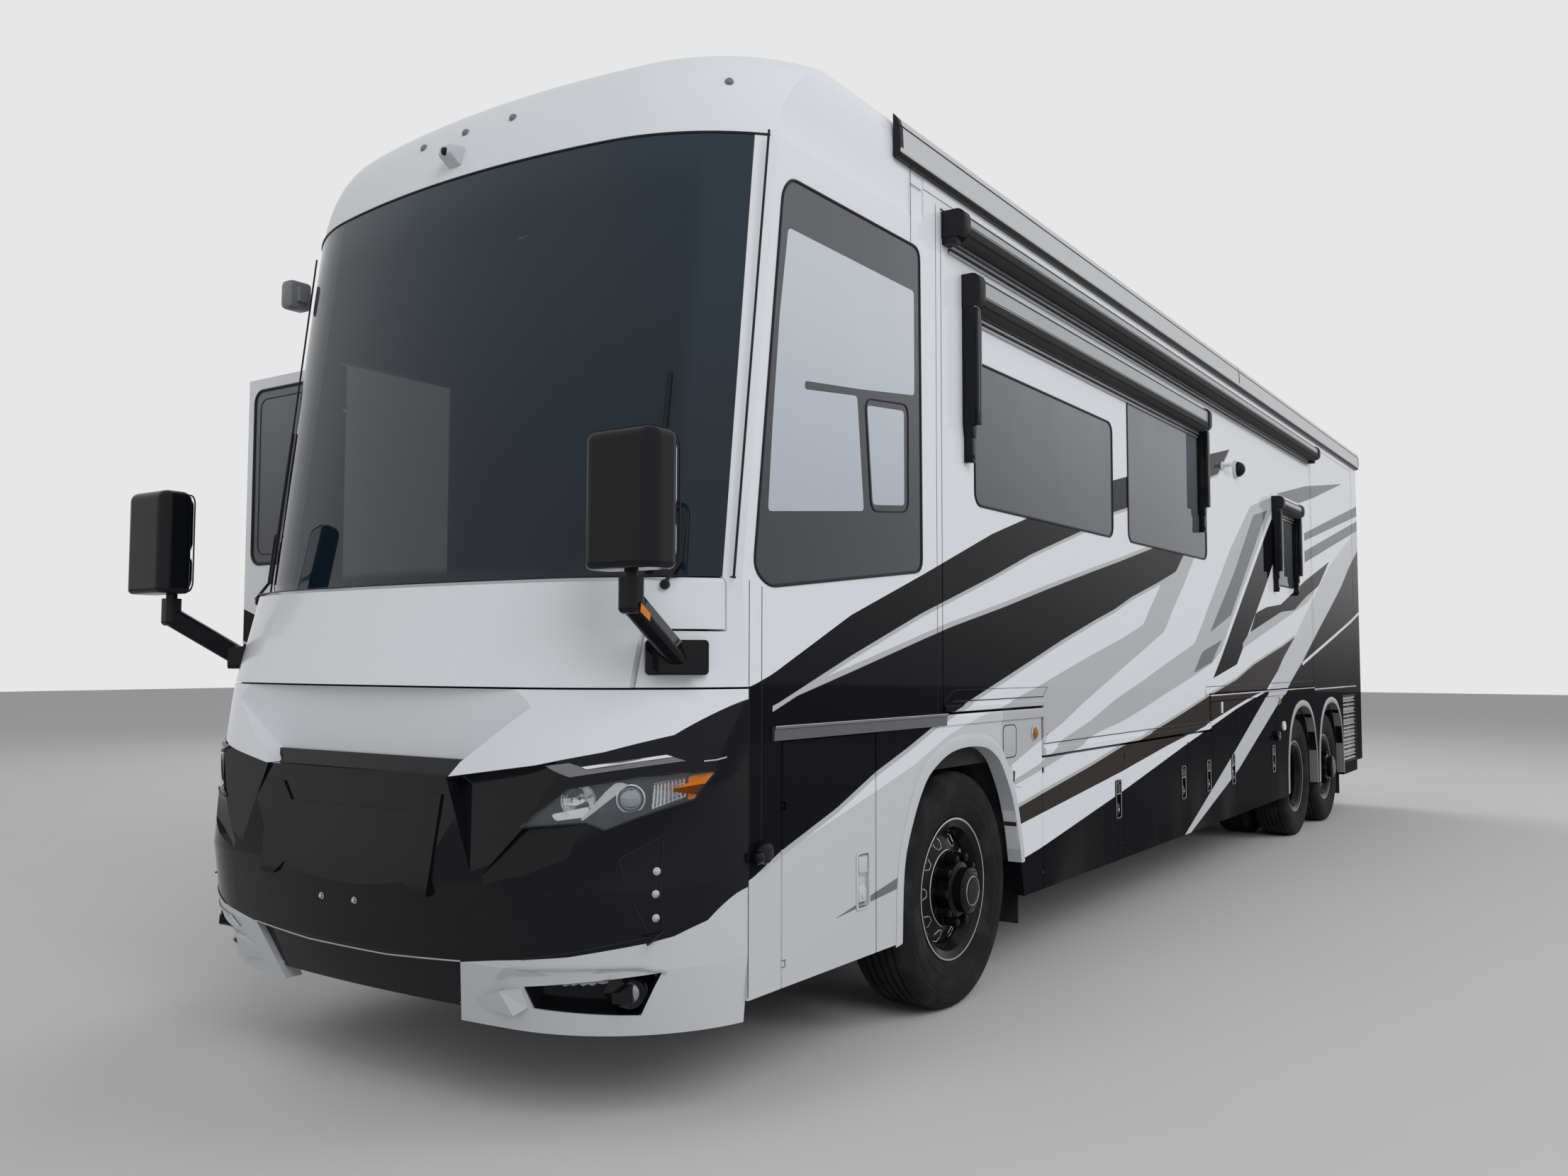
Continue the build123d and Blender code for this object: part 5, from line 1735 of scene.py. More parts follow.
@dataclass(frozen=True)
class CapFittings(Dress):
    """Roof markers, front camera, side pod, windscreen seal and wipers."""

    markers: Outline = ((0.0, 3.590), (0.255, 3.590), (-0.255, 3.590), (1.118, 3.59), (-1.118, 3.59))

    def build(self) -> None:
        """Builds the fittings."""
        cap = self.skin("front_cap")
        dome = ((0.0, -0.002), (0.017, -0.002), (0.016, 0.004), (0.011, 0.010), (0.0, 0.012))
        form = cap.studs(Form(), self.markers, dome, 20)
        self.shop.piece(form, "cap_markers", self.looks.slate_trim, "gloss_black")
        self._camera(cap.front(0.0, 3.478).x)
        form = Form().box((1.555, -1.385, 3.135), (1.672, -1.300, 3.268), 0.022)
        form.box((1.595, -1.305, 3.165), (1.640, -1.279, 3.235), 0.004)
        self.shop.piece(form, "side_beacon_case", self.looks.slate_trim, "gloss_black", 40.0)
        self._seals()
        self._wipers()

    def _camera(self, x: float) -> None:
        """Adds the front camera.

        Args:
            x: The cap's surface.
        """
        outline = (
            (x - 0.02, 3.432), (x + 0.020, 3.436), (x + 0.068, 3.470), (x + 0.060, 3.508), (x - 0.03, 3.516),
        )
        form = Form().plate(outline, -0.036, 0.072, 0.008)
        self.shop.piece(form, "cap_camera_case", self.looks.pearl_trim, "roof_white", 40.0)
        form = Form().rod((x + 0.055, 0.0, 3.482), (x + 0.070, 0.0, 3.478), 0.017, 0.015, 24, 0.002)
        self.shop.piece(form, "cap_camera_lens", self.looks.black, "gloss_black")

    def _seals(self) -> None:
        """Adds the rubber seal round the windscreen."""
        cap = self.skin("front_cap", "windscreen")
        form = Form()
        for reach, z in ((1.262, 3.3795), (1.268, 1.7985)):
            form.tube(cap.line([(-reach, z), (reach, z)], 0.0006, 0.05), 0.0048, 6)
        for y in (HALF + 0.0005, -HALF - 0.0005):
            form.tube([(1.748, y, 1.798), (1.551, y, 3.379)], 0.0045, 6)
        self.shop.piece(form, "windscreen_seal", self.looks.satin, "gloss_black", 60.0)

    def _wipers(self) -> None:
        """Adds two parked wipers, each with an arm and a curved blade."""
        screen = self.skin("windscreen", "front_cap", "nose_panel")
        pivot = screen.front(1.118, 1.770, -0.004)
        form = Form().rod(pivot, pivot + Vector((0.022, 0.012, 0.0)), 0.018, 0.014, 20, 0.003)
        hook = ((1.118, 1.775), (1.130, 1.850), (1.128, 1.950), (1.115, 2.022), (1.084, 2.048), (1.056, 2.050))
        form.tube([screen.front(y, z, 0.020) for y, z in hook], 0.0065)
        form.tube([screen.front(1.050, 1.840 + 0.11 * count, 0.011) for count in range(7)], 0.0075, 6)
        self.shop.piece(form.mirror(), "wipers", self.looks.satin, "gloss_black", 45.0)


@dataclass(frozen=True)
class MirrorTrim(Dress):
    """Amber lamps, glasses and seams of the two mirrors."""

    elbow: Point = (2.220, 1.250, 1.690)
    foot: Point = (1.9, 1.17, 1.531)
    look: Point = (-0.55, -0.83, -0.05)
    face: float = 2.1885

    def build(self) -> None:
        """Builds the trim."""
        arm = self.skin("mirror_left")
        along = (Vector(self.foot) - Vector(self.elbow)).normalized()
        look = Vector(self.look).normalized()
        face = []
        for t, rise in ((0.035, 0.014), (0.100, 0.012), (0.100, -0.010), (0.035, -0.010)):
            target = Vector(self.elbow) + along * t + Vector((0.0, 0.0, rise))
            hit = arm.tree.ray_cast(target - look, look)[0]
            face.append((hit or target) - look * 0.006)
        form = Form().slab(face, look * 0.014)
        self.shop.piece(form.mirror(), "mirror_arm_lamps", self.looks.amber, "tail_red", 40.0)
        form = Form()
        for z0, z1, radius in ((1.965, 2.185, 0.035), (1.815, 1.945, 0.030)):
            form.bar(rounded(1.165, 1.395, z0, z1, radius), self.face, self.face - 0.003)
        self.shop.piece(form.mirror(), "mirror_glasses", self.looks.mirror, "trim_chrome")
        rim = [(self.face + 0.001, y, z) for y, z in rounded(1.150, 1.410, 1.800, 2.200, 0.040)]
        form = Form().tube(rim, 0.0035, 6, True)
        self.shop.piece(form.mirror(), "mirror_edges", self.looks.satin, "gloss_black", 60.0)


# Sides


@dataclass(frozen=True)
class SideGlazing(Dress):
    """Gaskets of the side windows and the clear panes within the driver's tinted window."""

    slide_windows: tuple[tuple[float, float, float, float], ...] = (
        (-1.885, -0.081, 2.228, 2.885), (-3.768, -2.152, 2.228, 3.084), (-6.440, -5.700, 2.158, 2.770),
    )
    right_windows: tuple[tuple[float, float, float, float], ...] = (
        (-1.750, -0.350, 2.240, 2.880), (-4.300, -2.900, 2.240, 2.880), (-6.900, -6.000, 2.400, 2.880),
    )
    driver: Outline = (
        (1.635, 1.830), (1.547, 1.775), (0.431, 1.894), (0.443, 3.262), (1.410, 3.250), (1.465, 3.191),
    )
    clear: Outline = (
        (1.429, 3.066), (0.491, 3.066), (0.491, 2.626), (0.931, 2.572), (1.322, 2.532), (1.322, 2.501),
        (0.954, 2.542), (0.905, 2.10), (1.552, 2.035), (1.526, 2.340), (1.482, 2.747),
    )
    slider: Outline = ((0.893, 2.543), (0.547, 2.577), (0.547, 2.131), (0.848, 2.104))
    slider_pane: Outline = ((0.878, 2.518), (0.582, 2.545), (0.582, 2.155), (0.836, 2.131))

    def build(self) -> None:
        """Builds gaskets, panes and slider."""
        form = Form()
        for window in self.slide_windows:
            form.bead(rounded(*window, 0.060, 6), HALF + 0.0005, 0.0065)
        self.shop.piece(form, "slide_window_gaskets", self.looks.satin, "gloss_black", 60.0, "slide_out")
        form = Form()
        form.bead(softened(self.driver, 0.055), HALF + 0.0005, 0.0060)
        form.bead(softened(self.slider, 0.050), HALF + 0.0015, 0.0030)
        for window in self.right_windows:
            form.bead(rounded(*window, 0.060, 6), -HALF - 0.0005, 0.0065)
        self.shop.piece(form, "wall_window_gaskets", self.looks.satin, "gloss_black", 60.0)
        form = Form()
        # The clear panes are pale: painted reflection of clouds on the glass.
        form.plate(softened(self.clear, 0.020), HALF - 0.0002, 0.0012)
        form.plate(softened(self.slider_pane, 0.020), HALF - 0.0002, 0.0016)
        self.shop.piece(form, "driver_window_panes", self.looks.pane, "dark_glass", 20.0)


@dataclass(frozen=True)
class DoorFittings(Dress):
    """Framed paddle latches near the rear edges of the bay doors."""

    rears: tuple[tuple[str, float], ...] = (
        ("bay_left_1", 0.818), ("bay_left_2", -2.019), ("bay_left_3", -3.252), ("bay_left_4", -3.831),
        ("bay_left_5", -4.462), ("bay_left_6", -5.687), ("bay_right_1", -2.449), ("bay_right_2", -4.068),
        ("bay_right_3", -5.687),
    )
    pale: str = "bay_left_1"

    def build(self) -> None:
        """Builds the fittings of each door, on its own body."""
        for body, rear in self.rears:
            pale = body == self.pale
            self._latch(body, rear, 0.690 if pale else 0.740, -1 if "right" in body else 1, pale)

    def _latch(self, body: str, rear: float, z: float, s: int, pale: bool) -> None:
        """Adds a framed paddle latch.

        Args:
            body: The door's body.
            rear: The door's rear edge.
            z: The latch's middle height.
            s: The side.
            pale: Whether it is painted as the door.
        """
        x0, x1, z0, z1 = rear + 0.060, rear + 0.140, z - 0.100, z + 0.100
        y = s * HALF
        finish = self.looks.pearl_trim if pale else self.looks.black
        edge = self.looks.pearl_trim if pale else self.looks.chrome
        form = Form()
        inner = rounded(x0, x1, z0, z1, 0.010)
        outer = rounded(x0 - 0.010, x1 + 0.010, z0 - 0.010, z1 + 0.010, 0.016)
        rings = [
            form.row((x, y + s * lift, height) for x, height in outline)
            for outline, lift in ((outer, 0.0), (outer, 0.004), (inner, 0.005), (inner, -0.010))
        ]
        form.bridge(rings)
        form.bm.faces.new(rings[-1])
        paddle = ((-0.008, 0.028), (0.004, 0.034), (0.004, 0.086), (-0.008, 0.092))
        pull = ((-0.009, -0.086), (0.001, -0.080), (0.001, -0.034), (-0.009, -0.010))
        for section, inset in ((paddle, 0.008), (pull, 0.012)):
            form.bar([(y + s * out, z + up) for out, up in section], x0 + inset, x1 - inset, 0.003)
        self.shop.piece(form, f"{body}_latch", finish, "gloss_black", 30.0, body)
        bright = Form()
        middle = (x0 + x1) / 2
        bright.rod((middle, y - s * 0.001, z - 0.058), (middle, y + s * 0.005, z - 0.058), 0.010, None, 20, 0.001)
        bright.box((x0 + 0.010, y + s * 0.003, z + 0.030), (x1 - 0.010, y + s * 0.0065, z + 0.035))
        if not pale:
            bright.bead(inner, y + s * 0.0045, 0.0014, 6)
        self.shop.piece(bright, f"{body}_latch_bright", edge, "trim_chrome", 40.0, body)


@dataclass(frozen=True)
class SideTrim(Dress):
    """Rails, lips, seams, markers, fuel door and wheel arch lips of both sides."""

    floor_low: float = 1.052
    arch_front: Outline = (
        (0.620, 0.400), (0.600, 0.693), (0.520, 0.894), (0.421, 1.033), (0.300, 1.105), (0.166, 1.147), (0.0, 1.160),
        (-0.168, 1.147), (-0.270, 1.110), (-0.350, 1.053), (-0.457, 0.900), (-0.520, 0.720), (-0.560, 0.564),
    )
    arch_rear: Outline = (
        (0.560, 0.420), (0.545, 0.690), (0.505, 0.840), (0.450, 0.960), (0.360, 1.050), (0.250, 1.110), (0.125, 1.140),
        (0.0, 1.150), (-0.125, 1.140), (-0.250, 1.110), (-0.360, 1.050), (-0.450, 0.960), (-0.505, 0.840),
        (-0.545, 0.690), (-0.560, 0.420),
    )

    def build(self) -> None:
        """Builds the trim."""
        self._rails()
        self._seams()
        self._lip()
        self._arches()
        self._lamps()
        self._fuel()
        self._security()

    def _rails(self) -> None:
        """Adds the drip rail over the front bay and the belt rails."""
        form = Form()
        y = HALF
        section = (
            (y, 1.243), (y + 0.010, 1.246), (y + 0.012, 1.283), (y + 0.017, 1.287), (y + 0.015, 1.294), (y, 1.296),
        )
        form.bar(section, 0.225, 1.524)
        self.shop.piece(form, "belt_rail_front", self.looks.slate_metal, "trim_chrome", 20.0)
        form = Form()
        for x0, x1, z0, z1, out in (
            (-9.19, -7.165, 1.262, 1.276, 0.010), (-7.150, -3.790, 1.280, 1.291, 0.012),
            (0.225, 1.524, 1.2935, 1.2975, 0.018),
        ):
            form.box((x0, y - 0.001, z0), (x1, y + out, z1), 0.002)
            if x1 < 0:
                form.box((x0, -y - out, z0), (x1, -y + 0.001, z1), 0.002)
        self.shop.piece(form, "belt_rails", self.looks.chrome, "trim_chrome", 30.0)
        form = Form()
        section = (
            (y - 0.03, 1.244), (y, 1.2425), (y + 0.008, 1.245), (y + 0.009, 1.280), (y + 0.003, 1.2895),
            (y - 0.03, 1.2895),
        )
        for x0, x1 in ((-0.851, 0.224), (-7.150, -3.790)):
            form.bar(section, x0, x1)
        self.shop.piece(form, "belt_lips", self.looks.paint, "body_white", 20.0)

    def _seams(self) -> None:
        """Adds narrow dark seams between panels, and the seals of the slide-out's opening."""
        form = Form()
        y = HALF
        out = y + 0.0008
        for x, z0, z1, sides in (
            (1.6595, 0.41, 1.79, (1, -1)), (1.586, 0.83, 1.775, (1,)), (0.516, 3.27, 3.58, (1, -1)),
            (-9.200, 0.41, 3.60, (1, -1)),
        ):
            for s in sides:
                form.box((x - 0.0015, s * y, z0), (x + 0.0015, s * out, z1))
        for x0, z0, x1, z1 in (
            (0.420, 3.518, 0.516, 3.521), (-9.19, 3.530, 0.400, 3.533), (0.290, 1.30, 0.2925, 3.50),
            (-7.205, 1.30, -7.2025, 3.50),
        ):
            form.box((x0, y, z0), (x1, out, z1))
        self.shop.piece(form, "panel_seams", self.looks.satin, "gloss_black")
        form = Form()
        form.box((0.2382, 1.225, 1.30), (0.2458, y - 0.003, 3.497))
        form.box((-7.1578, 1.225, 1.30), (-7.1502, y - 0.003, 3.497))
        form.box((-7.1578, 1.225, 3.4902), (0.2458, y - 0.003, 3.4975))
        self.shop.piece(form, "slide_seals", self.looks.satin, "flap_rubber")

    def _lip(self) -> None:
        """Adds the slide-out's lower lip and bevelled skirt lines, which ride with it."""
        y = HALF
        form = Form()
        low = ((y, 1.052), (y + 0.012, 1.056), (y + 0.013, 1.084), (y + 0.006, 1.092), (y, 1.093))
        high = ((y, 1.301), (y + 0.010, 1.303), (y + 0.012, 1.322), (y + 0.004, 1.332), (y, 1.333))
        form.bar(low, -3.779, -0.851).bar(high, -0.850, 0.236)
        self.shop.piece(form, "slide_lip", self.looks.paint, "body_white", 20.0, "slide_out")
        form = Form()
        form.box((-3.779, y, 1.108), (-0.851, y + 0.001, 1.1125))
        form.box((-0.850, y, 1.343), (0.150, y + 0.001, 1.3475))
        for x0, z0, x1, z1 in (
            (0.229, 1.35, 0.130, 1.395), (-0.846, 1.345, -0.905, 1.392), (-0.852, 1.113, -0.900, 1.16),
            (-3.700, 1.12, -3.690, 1.33), (-3.700, 1.30, -3.779, 1.262),
        ):
            form.tube([(x0, y, z0), (x1, y, z1)], 0.0016, 6)
        form.tube([(0.130, y, 1.395), (-0.905, y, 1.392)], 0.0012, 6)
        form.box((-7.15, y, 1.345), (-3.70, y + 0.001, 1.349))
        self.shop.piece(form, "slide_lip_lines", self.looks.satin, "gloss_black", 60.0, "slide_out")

    def _arches(self) -> None:
        """Adds the arches' raised lips and dark liners."""
        lips, rear_lips, liners = Form(), Form(), Form()
        for s in (1, -1):
            self._arch(lips, self.arch_front, 0.0, s, 0.042, 0.006)
            self._liner(liners, self.arch_front, 0.0, s, 1.060)
            for x in (AXLES["drive"], AXLES["tag"]):
                self._arch(rear_lips, self.arch_rear, x, s, 0.034, 0.006)
                self._liner(liners, self.arch_rear, x, s, 0.700)
        self.shop.piece(lips, "arch_lips_front", self.looks.pearl_trim, "body_white", 40.0)
        self.shop.piece(rear_lips, "arch_lips_rear", self.looks.silver, "trim_chrome", 40.0)
        self.shop.piece(liners, "arch_liners", self.looks.flap, "flap_rubber", 40.0)

    def _smooth(self, outline: Rows, x: float, grow: float) -> list[Vector]:
        """The arch's line, smoothed and grown outwards.

        Args:
            outline: The arch's corners, from its axle.
            x: The axle's place.
            grow: How far the line moves outwards.

        Returns:
            Its points as x and height.
        """
        points = [Vector((px, pz)) for px, pz in outline]
        fine = []
        for count in range(len(points) - 1):
            p0, p1 = points[max(count - 1, 0)], points[count]
            p2, p3 = points[count + 1], points[min(count + 2, len(points) - 1)]
            for step in range(4):
                t = step / 4
                fine.append(0.5 * (
                    2 * p1 + (p2 - p0) * t + (2 * p0 - 5 * p1 + 4 * p2 - p3) * t**2 + (3 * p1 - p0 - 3 * p2 + p3) * t**3
                ))
        fine.append(points[-1])
        middle = Vector((0.0, 0.55))
        return [Vector((x + p.x, p.y)) + (p - middle).normalized() * grow for p in fine]

    def _arch(self, form: Form, outline: Rows, x: float, s: int, width: float, rise: float) -> None:
        """Adds one lip as a band round the arch.

        Args:
            form: Where it goes.
            outline: The arch's corners, from its axle.
            x: The axle's place.
            s: The side.
            width: The band's width.
            rise: How far it stands out.
        """
        edge, outer = self._smooth(outline, x, 0.0), self._smooth(outline, x, width)
        rows = []
        for on_edge, high in zip(edge, outer):
            reach = 0.004 + 0.013 * min(max((on_edge.y - 0.75) / 0.25, 0.0), 1.0)
            low = on_edge + (on_edge - high).normalized() * reach
            section = (
                (low, -0.064), (low, rise), (low.lerp(high, 0.25), rise + 0.003), (high, rise * 0.5), (high, -0.001),
            )
            rows.append(form.row((p.x, s * (HALF + lift), p.y) for p, lift in section))
        form.bridge(rows, ring=False)

    def _liner(self, form: Form, outline: Rows, x: float, s: int, depth: float) -> None:
        """Adds one liner behind the arch, under the floor, as deep as the tyre leaves room.

        Args:
            form: Where it goes.
            outline: The arch's corners, from its axle.
            x: The axle's place.
            s: The side.
            depth: The width at which it ends.
        """
        line = self._smooth(outline, x, 0.012)
        rows = []
        for p in line:
            low = min(p.y, self.floor_low)
            section = ((1.2215, p.y), (1.2170, low), (depth, low))
            rows.append(form.row((p.x, s * y, z) for y, z in section))
        form.bridge(rows, ring=False)

    def _lamps(self) -> None:
        """Adds side markers, pods and their bezels."""
        amber, bezels, pods, white = Form(), Form(), Form(), Form()
        for s in (1, -1):
            for x, z, radius in ((-0.725, 1.170, 0.030), (-5.800, 1.200, 0.028)):
                axis = (0.0, float(s), 0.0)
                rows = ((0.0, 0.0), (radius, 0.0), (radius * 0.96, 0.010), (radius * 0.6, 0.018), (0.0, 0.021))
                amber.lathe(rows, (x, s * HALF, z), axis, 28)
                ring = ((radius, 0.0), (radius + 0.006, 0.0), (radius + 0.005, 0.006), (radius, 0.009))
                bezels.lathe(ring, (x, s * HALF, z), axis, 32, True)
        rows = ((0.040, 0.0), (0.040, 0.012), (0.034, 0.018), (0.032, 0.010), (0.0, 0.006))
        white.lathe(rows, (-5.939, HALF, 0.988), (0.0, 1.0, 0.0), 32)
        for x, z in ((1.589, 0.876), (-5.685, 0.918)):
            pods.rod((x, HALF - 0.002, z), (x, HALF + 0.034, z), 0.042, 0.034, 28, 0.008)
            pods.rod((x + 0.030, HALF + 0.020, z - 0.01), (x + 0.062, HALF + 0.020, z - 0.014), 0.022, 0.020, 20, 0.004)
        white.box((-4.095, HALF - 0.001, 1.155), (-4.063, HALF + 0.010, 1.236), 0.004)
        self.shop.piece(amber, "side_markers", self.looks.amber_dark, "tail_red")
        self.shop.piece(bezels, "side_lamp_bezels", self.looks.chrome, "trim_chrome")
        self.shop.piece(pods, "side_pods", self.looks.black, "gloss_black")
        self.shop.piece(white, "side_white_lamps", self.looks.frosted, "lamp_glass")

    def _fuel(self) -> None:
        """Adds the fuel door's outline and finger notch, and the moulded recess behind the arch."""
        form = Form()
        form.bead(rounded(-0.515, -0.366, 1.068, 1.220, 0.030), HALF + 0.0002, 0.0022, 6)
        form.plate([(-0.478, 1.005), (-0.500, 0.998), (-0.492, 0.955), (-0.478, 0.940)], HALF - 0.001, 0.002)
        self.shop.piece(form, "fuel_door_lines", self.looks.satin, "gloss_black", 60.0)
        form = Form()
        form.plate(rounded(-0.511, -0.370, 1.072, 1.216, 0.027), HALF, 0.0018, 0.0012)
        form.plate([(-0.500, 0.935), (-0.478, 0.930), (-0.560, 0.920), (-0.575, 0.932)], HALF - 0.001, 0.006, 0.002)
        self.shop.piece(form, "fuel_door_panel", self.looks.paint, "body_white", 30.0)

    def _security(self) -> None:
        """Adds the round camera on its bracket beside the rear window, on the slide-out."""
        form = Form()
        form.rod((-4.200, HALF - 0.002, 2.940), (-4.200, HALF + 0.012, 2.940), 0.036, 0.032, 28, 0.004)
        neck = [(-4.200, HALF + 0.008, 2.940), (-4.215, HALF + 0.045, 2.946), (-4.250, HALF + 0.060, 2.950)]
        form.tube(neck, 0.012, 12)
        form.rod((-4.560, HALF - 0.002, 2.960), (-4.560, HALF + 0.022, 2.960), 0.070, 0.064, 32, 0.006)
        self.shop.piece(form, "slide_camera_case", self.looks.pearl_trim, "roof_white", 40.0, "slide_out")
        form = Form()
        ball = tuple((0.058 * math.cos(0.26 * step), 0.020 + 0.058 * math.sin(0.26 * step)) for step in range(6))
        form.lathe(ball + ((0.0, 0.078),), (-4.560, HALF, 2.960), (0.0, 1.0, 0.0), 32)
        self.shop.piece(form, "slide_camera_lens", self.looks.black, "gloss_black", 40.0, "slide_out")


# Awnings


@dataclass(frozen=True)
class AwningDress(Dress):
    """End caps, fabric roll, rails and arms of one awning on the slide-out."""

    name: str
    x0: float
    x1: float
    z0: float
    z1: float
    reach: float
    arm_low: float

    def build(self) -> None:
        """Builds the awning's dress, which rides with the slide-out."""
        self._caps()
        self._fabric()
        self._rails()
        if self.arm_low:
            self._arms()

    def _section(self, inset: float) -> list[tuple[float, float]]:
        """The case's end view, rounded on its outer side.

        Args:
            inset: How far it is grown.

        Returns:
            Its y, z points.
        """
        y0, y1 = HALF, HALF + self.reach + inset
        z0, z1 = self.z0 - inset, self.z1 + inset
        points = [(y0, z0)]
        radius = 0.042
        for z, start in ((z0, -90), (z1, 0)):
            for step in range(7):
                angle = math.radians(start + 90 * step / 6)
                cz = z0 + radius if z == z0 else z1 - radius
                points.append((y1 - radius + radius * math.cos(angle), cz + radius * math.sin(angle)))
        points.append((y0, z1))
        return points

    def _caps(self) -> None:
        """Adds the black end caps."""
        form = Form()
        for x in (self.x0 - 0.002, self.x1 - 0.062):
            form.bar(self._section(0.0015), x, x + 0.064, 0.003)
        for x in (self.x0 + 0.03, self.x1 - 0.03):
            form.box((x - 0.028, HALF, self.z0 - 0.030), (x + 0.028, HALF + self.reach * 0.62, self.z0 + 0.006), 0.006)
        self.shop.piece(form, f"{self.name}_end_caps", self.looks.satin, "gloss_black", 35.0, "slide_out")

    def _fabric(self) -> None:
        """Adds the rolled fabric below and the dark slot along the case."""
        form = Form()
        x0, x1 = self.x0 + 0.064, self.x1 - 0.064
        y = HALF + self.reach - 0.048
        form.rod((x0, y, self.z0 + 0.020), (x1, y, self.z0 + 0.020), 0.034, None, 28)
        front = HALF + self.reach - 0.008
        form.box((x0, front - 0.010, self.z0 + 0.010), (x1, front + 0.0012, self.z0 + 0.048), 0.002)
        self.shop.piece(form, f"{self.name}_fabric", self.looks.fabric, "gloss_black", 40.0, "slide_out")

    def _rails(self) -> None:
        """Adds the long rails on the case and on the wall under it."""
        x0, x1 = self.x0 + 0.064, self.x1 - 0.064
        front = HALF + self.reach - 0.008
        dark, bright = Form(), Form()
        for z in (self.z0 + 0.052, self.z1 - 0.030):
            dark.box((x0, front - 0.004, z), (x1, front + 0.0012, z + 0.003))
        for z, out in ((self.z0 - 0.052, 0.012), (self.z0 - 0.030, 0.022), (self.z0 - 0.010, 0.030)):
            bright.box((x0, HALF, z), (x1, HALF + out, z + 0.012), 0.002)
            dark.box((x0, HALF, z + 0.012), (x1, HALF + out * 0.6, z + 0.020))
        self.shop.piece(dark, f"{self.name}_dark_rails", self.looks.satin, "gloss_black", body="slide_out")
        self.shop.piece(bright, f"{self.name}_bright_rails", self.looks.silver, "awning_silver", body="slide_out")

    def _arms(self) -> None:
        """Adds the folded arms with their slots, knuckles and feet."""
        black, bright = Form(), Form()
        for x in (self.x0 + 0.030, self.x1 - 0.030):
            z0, z1 = self.arm_low + 0.165, self.z0 + 0.004
            black.box((x - 0.030, HALF, z0), (x + 0.030, HALF + 0.040, z1), 0.004)
            black.box((x - 0.0275, HALF + 0.001, z0 - 0.002), (x + 0.0275, HALF + 0.074, z1 - 0.006), 0.006)
            taper = [(x - 0.030, z0 + 0.002), (x - 0.018, z0 - 0.060), (x + 0.018, z0 - 0.060), (x + 0.030, z0 + 0.002)]
            black.plate(taper, HALF, 0.048, 0.004)
            black.box((x - 0.018, HALF, self.arm_low - 0.006), (x + 0.018, HALF + 0.042, z0 - 0.05), 0.005)
            for dx in (-0.010, 0.010):
                bright.box((x + dx - 0.0015, HALF + 0.0735, z0 + 0.05), (x + dx + 0.0015, HALF + 0.0752, z1 - 0.03))
            knuckle = self.arm_low + 0.020
            black.rod((x, HALF + 0.030, knuckle), (x, HALF + 0.047, knuckle), 0.010, None, 16, 0.002)
        self.shop.piece(black, f"{self.name}_arms", self.looks.black, "gloss_black", 35.0, "slide_out")
        self.shop.piece(bright, f"{self.name}_arm_edges", self.looks.slate_trim, "trim_chrome", body="slide_out")


@dataclass(frozen=True)
class RoofCaseDress(Dress):
    """End strips, groove and black lower lip of the long cases on the roof's edges; the lip's black is painted shade
    under their rounded bottoms.
    """

    x0: float = -9.500
    x1: float = 0.660
    section: Outline = (
        (1.2835, 3.588), (1.300, 3.582), (1.3135, 3.596), (1.3190, 3.625), (1.3160, 3.700), (1.3070, 3.739),
        (1.2835, 3.768),
    )

    def build(self) -> None:
        """Builds the dress of both sides."""
        dark, lip = Form(), Form()
        for x, along in ((self.x1 - 0.022, 0.026), (self.x0 - 0.004, 0.022), (-4.620, 0.010)):
            dark.bar(self.section, x, x + along)
        dark.tube([(self.x0, 1.3135, 3.712), (self.x1, 1.3135, 3.712)], 0.0028, 6)
        # Black lower lip: its colour is painted shade where the case's rounded bottom curves under.
        edge = ((1.2835, 3.5835), (1.302, 3.5815), (1.3155, 3.597), (1.3155, 3.606), (1.300, 3.598))
        lip.bar(edge, self.x0, self.x1)
        self.shop.piece(dark.mirror(), "roof_case_strips", self.looks.satin, "gloss_black", 40.0)
        self.shop.piece(lip.mirror(), "roof_case_under_shade", self.looks.black, "gloss_black", 40.0)


# Open door, rear, roof and cab


